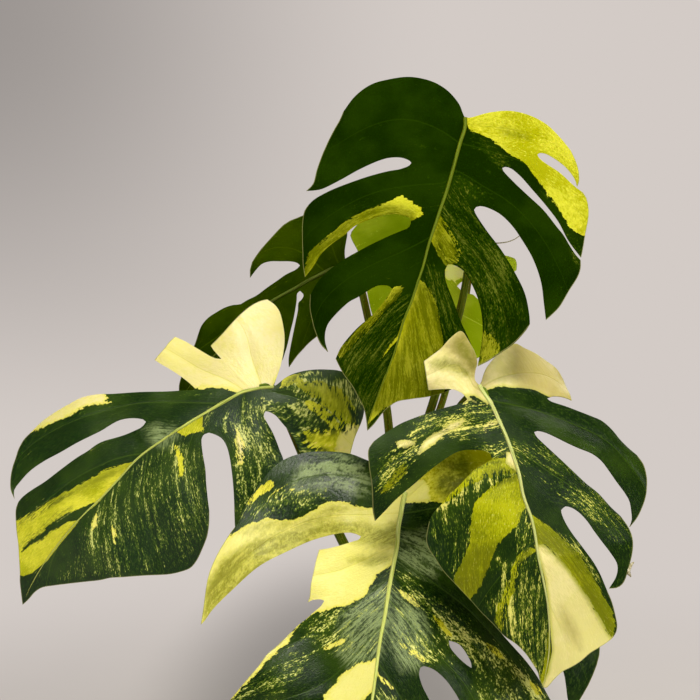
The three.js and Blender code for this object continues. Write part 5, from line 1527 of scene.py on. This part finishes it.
def grained_material(name, noise, relief, dark, pale, rough):
    """One noise that gives both the relief and the tone between two colours."""
    s = Shades(name)
    grain = s.noise(s.place(), *noise)
    s.bump(grain, *relief)
    return s.finish(s.mix(s.step(grain, 0.35, 0.65), srgb(*dark), srgb(*pale)), rough)


def dry_material():
    return grained_material("dry_scrap", (400.0, 3.0), (0.4, 0.0005), (150, 138, 96),
                            (208, 202, 170), 0.7)


def root_material():
    return grained_material("aerial_root", (260.0, 4.0, 0.6), (0.5, 0.0008), (92, 66, 40),
                            (150, 120, 82), 0.7)


def chip_material():
    return grained_material("bark_chip", (300.0, 4.0, 0.6), (0.6, 0.001), (66, 42, 26),
                            (122, 86, 54), 0.9)


def perlite_material():
    s = Shades("perlite")
    grain = s.noise(s.place(), 500.0, 3.0)
    s.bump(grain, 0.5, 0.0006)
    return s.finish(s.mix(grain, srgb(226, 222, 212), srgb(248, 246, 240)), 0.9)


def soil_material():
    s = Shades("potting_mix")
    place = s.place()
    clump = s.noise(place, 130.0, 6.0, 0.7)
    grit = s.cells(place, 420.0)
    dark = s.mix(s.step(clump, 0.35, 0.68), srgb(36, 26, 18), srgb(84, 64, 46))
    s.bump(s.total(clump, s.times(grit, 0.4)), 0.9, 0.002)
    return s.finish(s.mix(s.step(grit, 0.5, 0.3), dark, srgb(58, 44, 31)), 0.95)


def stoneware_material():
    s = Shades("stoneware")
    place = s.place()
    cloud = s.noise(place, 14.0, 5.0, 0.6)
    fine = s.noise(place, 260.0, 3.0)
    speck = s.cells(place, 230.0)
    colour = s.mix(s.step(cloud, 0.35, 0.65), srgb(196, 199, 200), srgb(172, 177, 181))
    dots = s.times(s.step(speck, 0.16, 0.1), s.step(fine, 0.5, 0.6))
    s.bump(s.total(s.times(fine, 0.4), cloud), 0.25, 0.0012)
    return s.finish(s.mix(dots, colour, srgb(112, 110, 106)), s.scaled(cloud, 0.25, 0.4))


def room_glow(s, share=1.0):
    """Light of the pale walls, which darken to the upper left, by direction from mid height."""
    aim = s.vector_math("SUBTRACT", s.place(), (0.0, 0.0, ROOM_CENTRE))
    parts = s.tree.nodes.new("ShaderNodeSeparateXYZ")
    s.wire(s.vector_math("NORMALIZE", aim), parts.inputs[0])
    dusk = s.times(s.step(parts.outputs["X"], SHADE_RIGHT, SHADE_LEFT),
                   s.step(parts.outputs["Z"], SHADE_LOW, SHADE_HIGH))
    glow = s.tree.nodes.new("ShaderNodeEmission")
    glow.inputs["Color"].default_value = SURROUND
    s.wire(s.times(share, s.scaled(dusk, -SHADE, 1.0)), glow.inputs["Strength"])
    return glow.outputs[0]


def wall_material():
    s = Shades("pale_wall")
    s.wire(room_glow(s), s.tree.nodes["Material Output"].inputs["Surface"])
    return s.material


def floor_material():
    """A pale floor that fades into the light of the walls, with a soft shadow behind the pot."""
    s = Shades("pale_floor")
    place = s.place()
    reach = s.vector_math("LENGTH", place, output="Value")
    grain = s.noise(place, 9.0, 4.0)
    aside = s.vector_math("DIVIDE", s.vector_math("SUBTRACT", place, SHADOW_CENTRE), SHADOW_REACH)
    share = s.step(s.vector_math("LENGTH", aside, output="Value"), 1.0, 0.35, 1.0, SHADOW)
    blend = s.tree.nodes.new("ShaderNodeMixShader")
    s.wire(s.step(reach, FLOOR_NEAR, FLOOR_FAR), blend.inputs[0])
    s.wire(s.surface.outputs[0], blend.inputs[1])
    s.wire(room_glow(s, share), blend.inputs[2])
    s.wire(blend.outputs[0], s.tree.nodes["Material Output"].inputs["Surface"])
    pale = s.mix(grain, srgb(214, 208, 202), srgb(206, 201, 196))
    return s.finish(s.mix(share, srgb(0, 0, 0), pale), 0.9)


# The plant
def cane_radius(share, turn):
    scars = sum(np.exp(-(((share - node) / 0.012) ** 2)) for node in CANE_NODES)
    taper = np.clip((share - 0.35) / 0.65, 0, 1)
    knurl = 0.35 * np.sin(5 * turn + 40 * share) + 0.25 * np.sin(11 * turn - 70 * share)
    return CANE_RADIUS + (CANE_TOP_RADIUS - CANE_RADIUS) * taper + 1.1 * scars + knurl


def root_path(height, turn, reach, low):
    heading = math.radians(turn)
    steps = ((2, height + 2), (16, height - 2), (0.6 * reach, height - 16),
             (0.92 * reach, (height + low) / 2 - 4), (reach, low))
    return [(r * math.cos(heading) - 3, r * math.sin(heading) + 1, z) for r, z in steps]


def cane_piece():
    build = Build()
    build.add(bark_material(), *tube(CANE_PATH, cane_radius, 40, 170))
    root_skin = root_material()
    for height, turn, reach, low, radius in AERIAL_ROOTS:
        def taper(share, around, radius=radius):
            return radius * (1 - 0.4 * share) * (1 + 0.08 * np.sin(60 * share + 2 * around))
        build.add(root_skin, *tube(root_path(height, turn, reach, low), taper, 10, 40))
    return build.finish("cane_skin")


def cane_middle(height):
    line = smooth_line(CANE_PATH)
    return line[np.argmin(np.abs(line[:, 2] - height))]


def seat_of(leaf, radius):
    """Two points behind the midrib's foot, where the head of the stalk lies on the blade."""
    sheet = Midrib(leaf).at(SEAT_SHARES)
    points = from_sheet(*sheet.T, graded(leaf["depth"], SEAT_SHARES))
    run = (points[2] - points[0]) / np.linalg.norm(points[2] - points[0])
    behind = np.array([0.0, 1.0, 0.0]) - run * run[1]
    out = (radius + BLADE_THICKNESS / 2 - SEAT_SINK) * behind / np.linalg.norm(behind)
    return [points[0] + out, points[1] + out]


def petiole_piece(name, skin, leaf, height, turn, leave, foot, head, path):
    points = [cane_middle(height)]
    if leave:
        heading = math.radians(turn)
        aside = leave * np.array([math.cos(heading), math.sin(heading), 0])
        points.append(cane_middle(height + SHEATH_LIFT) + aside)
    points += [from_sheet(*step) for step in path]
    line = np.array(points + seat_of(leaf, head))
    reach = lengths_along(smooth_line(line))[-1]

    def radius(share, around):
        plain = head + (foot - head) * (1 - share) ** 1.3
        sheath = np.clip(1 - share * reach / SHEATH_RUN, 0, 1)
        wings = np.exp(-((np.cos(around) - 0.15) / 0.22) ** 2) * sheath**0.8
        knee = np.exp(-(((1 - share) * reach - KNEE_BACK) / KNEE_RUN) ** 2)
        groove = GROOVE * np.cos(2 * around) * (1 - share)
        return plain * (1 + SHEATH_SWELL * wings + KNEE_SWELL * knee + groove)

    return single_piece(name.replace("petiole", "stalk"), skin, *tube(line, radius, 18, 150))


def swelling(thin, thick):
    """A stalk's radius that grows from thin at the ends to thick in the middle."""
    return lambda share, around: thin + (thick - thin) * np.sin(math.pi * share) + 0 * around


def rib_radius(share, around):
    return RIB_END_RADIUS + (RIB_RADIUS - RIB_END_RADIUS) * (1 - share) ** 0.8 + 0 * around


def blade_piece(name, leaf, dry):
    """A blade in two layers, its midrib in front and behind, and its dry scraps."""
    kind = name.replace("leaf_", "")
    points, quads, fields = sheet_of(leaf, TINTS.get(name, {}))
    layers, faces = thickened(points, quads, BLADE_THICKNESS)
    build = Build()
    skin = BladeSkin("blade_" + kind, SKINS[name]).finished()
    build.add(skin, layers, faces, {key: np.tile(value, 2) for key, value in fields.items()})

    green, pale, raised = RIBS[name]
    rib = rib_material("rib_" + kind, green, pale)

    def crown(share, around):
        return raised * rib_radius(share, around)

    shares = np.linspace(0.0, RIB_REACH, 60)
    sheet = Midrib(leaf).at(shares)
    depths = graded(leaf["depth"], shares)
    behind = 0.9 * rib_radius(shares, 0)
    for section, shift in ((crown, -0.2), (rib_radius, behind)):
        build.add(rib, *tube(from_sheet(*sheet.T, depths + shift), section, 12, 110))
    for path, thin, thick in SCRAPS.get(name, []):
        build.add(dry, *tube(from_sheet(*np.array(path, float).T), swelling(thin, thick), 8, 30))
    return build.finish("blade_" + kind)


# The pot and its soil
def pot_wall(height, inset):
    share = np.clip(np.asarray(height, float) / POT_HEIGHT, 0, 1)
    return POT_FOOT_RADIUS + (POT_TOP_RADIUS - POT_FOOT_RADIUS) * share**0.8 - inset


def wall_point(height, inset=0.0):
    return float(pot_wall(height, inset)), height


def pot_profile():
    """The pot's section from the middle of its foot up, over the rim and down to its floor."""
    top, edge = POT_HEIGHT, EDGE_ROUND
    profile = [(0, FOOT_RECESS), (POT_FOOT_RADIUS - FOOT_RING - 1, FOOT_RECESS),
               (POT_FOOT_RADIUS - FOOT_RING, 0)]
    profile += rounded((POT_FOOT_RADIUS - edge, 0), (POT_FOOT_RADIUS, 0), wall_point(edge))
    for height in np.linspace(2 * edge, top - 2 * edge, 48):
        mark = 0.25 * math.sin(height / 3.1) + 0.2 * math.sin(height / 1.37 + 1)
        profile.append((float(pot_wall(height, MARK_INSET)) + mark, height))
    profile += rounded(wall_point(top - edge), wall_point(top), wall_point(top, RIM_ROUND))
    profile += rounded(wall_point(top, POT_WALL - RIM_ROUND), wall_point(top, POT_WALL),
                       wall_point(top - edge, POT_WALL))
    profile += [wall_point(height, POT_WALL)
                for height in np.linspace(top - 2 * edge, POT_FLOOR + 1.5 * edge, 16)]
    corner = wall_point(POT_FLOOR, POT_WALL)
    profile += rounded(wall_point(POT_FLOOR + edge, POT_WALL), corner, (corner[0] - edge, POT_FLOOR))
    return [*profile, (0, POT_FLOOR)]


def pot_piece():
    stoneware = stoneware_material()
    pot = single_piece("pot_body", stoneware, *lathe(pot_profile(), 144), sharp=35)
    low, high = -5, 2 * POT_FLOOR
    points, quads = lathe([(0, low), (DRAIN_RADIUS, low), (DRAIN_RADIUS, high), (0, high)], 32)
    drills = Build()
    for k in range(3):
        turn = 2 * math.pi * k / 3 + 0.5
        spot = [DRAIN_RING * math.cos(turn), DRAIN_RING * math.sin(turn), 0]
        drills.add(stoneware, points + spot, quads)
    drill = drills.finish("drills")
    cut = pot.modifiers.new("drains", "BOOLEAN")
    cut.operation = "DIFFERENCE"
    cut.object = drill
    apply_modifiers(pot)
    bpy.data.objects.remove(drill)
    return pot


def apply_modifiers(piece):
    settled = bpy.data.meshes.new_from_object(piece.evaluated_get(bpy.context.evaluated_depsgraph_get()))
    old = piece.data
    piece.modifiers.clear()
    piece.data = settled
    bpy.data.meshes.remove(old)


def soil_height(x, y):
    """Surface of the potting mix, a little heaped round the cane and crumbly."""
    draws = np.random.default_rng(SEED + 1)
    heap = np.cos(np.clip(np.hypot(x, y) / HEAP_RADIUS, 0, 1) * math.pi / 2)
    height = SOIL_TOP - SOIL_SINK + SOIL_HEAP * heap
    for length, size in SOIL_WAVES:
        for _ in range(3):
            height = height + size / 2 * ripple(draws, x, y, length)
    return height


def chip(draws, middle, size, rough):
    """A crumb of bark or perlite: a squashed ball with its corners pushed about."""
    points = BALL_POINTS * (1 + draws.uniform(-rough, rough, (len(BALL_POINTS), 1)))
    points = points * size * draws.uniform(0.55, 1.15, 3)
    a, b = draws.uniform(0, 2 * math.pi, 2)
    spin = np.array([[math.cos(a), -math.sin(a), 0], [math.sin(a), math.cos(a), 0], [0, 0, 1]])
    tip = np.array([[1, 0, 0], [0, math.cos(b), -math.sin(b)], [0, math.sin(b), math.cos(b)]])
    return points @ spin @ tip + middle


def soil_piece():
    inset = POT_WALL + SEAT_GAP
    foot, shoulder = POT_FLOOR + SEAT_GAP, SOIL_TOP - SOIL_SHOULDER
    rim = float(pot_wall(shoulder, inset))
    profile = [(0, foot)]
    profile += [wall_point(height, inset) for height in np.linspace(foot, shoulder, 8)]
    profile += [(float(rim * share), SOIL_TOP) for share in np.linspace(0, 1, 64)[-2:0:-1]]
    profile.append((0, SOIL_TOP))
    points, quads = lathe(profile, 160)
    top = points[:, 2] > SOIL_TOP - 1
    points[top, 2] = soil_height(points[top, 0], points[top, 1])
    build = Build()
    build.add(soil_material(), points, quads)
    draws = np.random.default_rng(SEED + 2)
    for kind, count, low, high, rough in ((chip_material(), 620, 1.3, 4.6, 0.3),
                                          (perlite_material(), 260, 0.9, 2.1, 0.25)):
        for _ in range(count):
            turn = draws.uniform(0, 2 * math.pi)
            reach = (rim - CRUMB_MARGIN) * math.sqrt(draws.uniform(CANE_CLEAR, 1))
            x, y = reach * math.cos(turn), reach * math.sin(turn)
            size = draws.uniform(low, high) * draws.uniform(0.6, 1)
            middle = np.array([x, y, soil_height(x, y) + 0.15 * size])
            build.add(kind, chip(draws, middle, size, rough), BALL_FACES)
    return build.finish("soil_surface", 40)


# The scene round it
def stage_pieces():
    """A wide floor, and a wall all round that is there for the eye alone."""
    size = FLOOR_HALF
    corners = [(-size, -size, 0), (size, -size, 0), (size, size, 0), (-size, size, 0)]
    single_piece("pale_floor", floor_material(), np.array(corners), [[0, 1, 2, 3]])
    room = lathe([(0, -size), (size, -size), (size, size), (0, size)], 24)
    wall = single_piece("pale_wall", wall_material(), *room)
    for ray in ("diffuse", "glossy", "transmission", "shadow"):
        setattr(wall, "visible_" + ray, False)


def area_light(name, spot, size, watts, colour):
    lamp = bpy.data.lights.new(name, "AREA")
    lamp.shape = "RECTANGLE"
    lamp.size, lamp.size_y = (side * MILLIMETRE for side in size)
    lamp.energy = watts
    lamp.color = colour
    light = bpy.data.objects.new(name, lamp)
    light.location = Vector(spot) * MILLIMETRE
    light.rotation_mode = "QUATERNION"
    light.rotation_quaternion = (Vector(LAMP_TARGET) - Vector(spot)).to_track_quat("-Z", "Y")
    light.visible_camera = False
    bpy.context.collection.objects.link(light)


def light_scene():
    """Dim surroundings, a key from overhead, a wide panel in front and a lamp behind."""
    world = bpy.data.worlds.new("studio")
    bpy.context.scene.world = world
    world.use_nodes = True
    surround = world.node_tree.nodes["Background"]
    surround.inputs["Color"].default_value = SURROUND
    surround.inputs["Strength"].default_value = SURROUND_STRENGTH
    for name, lamp in LAMPS.items():
        area_light(name, *lamp)
    bpy.context.scene.view_settings.view_transform = "Standard"


def place_camera():
    data = bpy.data.cameras.new("camera")
    data.sensor_width = SENSOR_MM
    data.lens = SENSOR_MM * SHEET_DISTANCE / (2 * SHEET_CENTRE)
    data.clip_start, data.clip_end = CLIP_METRES
    camera = bpy.data.objects.new("camera", data)
    camera.location = Vector(EYE) * MILLIMETRE
    camera.rotation_mode = "QUATERNION"
    camera.rotation_quaternion = Vector(FORWARD).to_track_quat("-Z", "Y")
    bpy.context.collection.objects.link(camera)
    bpy.context.scene.camera = camera


def dress(piece, node):
    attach(piece, "root")
    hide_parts(node)


place_camera()
light_scene()
stage_pieces()
dress(pot_piece(), "pot")
dress(soil_piece(), "soil")
dress(cane_piece(), "cane")
stalk_skin = stalk_material()
for name, stalk in PETIOLES.items():
    dress(petiole_piece(name, stalk_skin, *stalk), name)
dry = dry_material()
for name, (leaf, finish_slot) in BLADES.items():
    dress(blade_piece(name, leaf, dry), name)
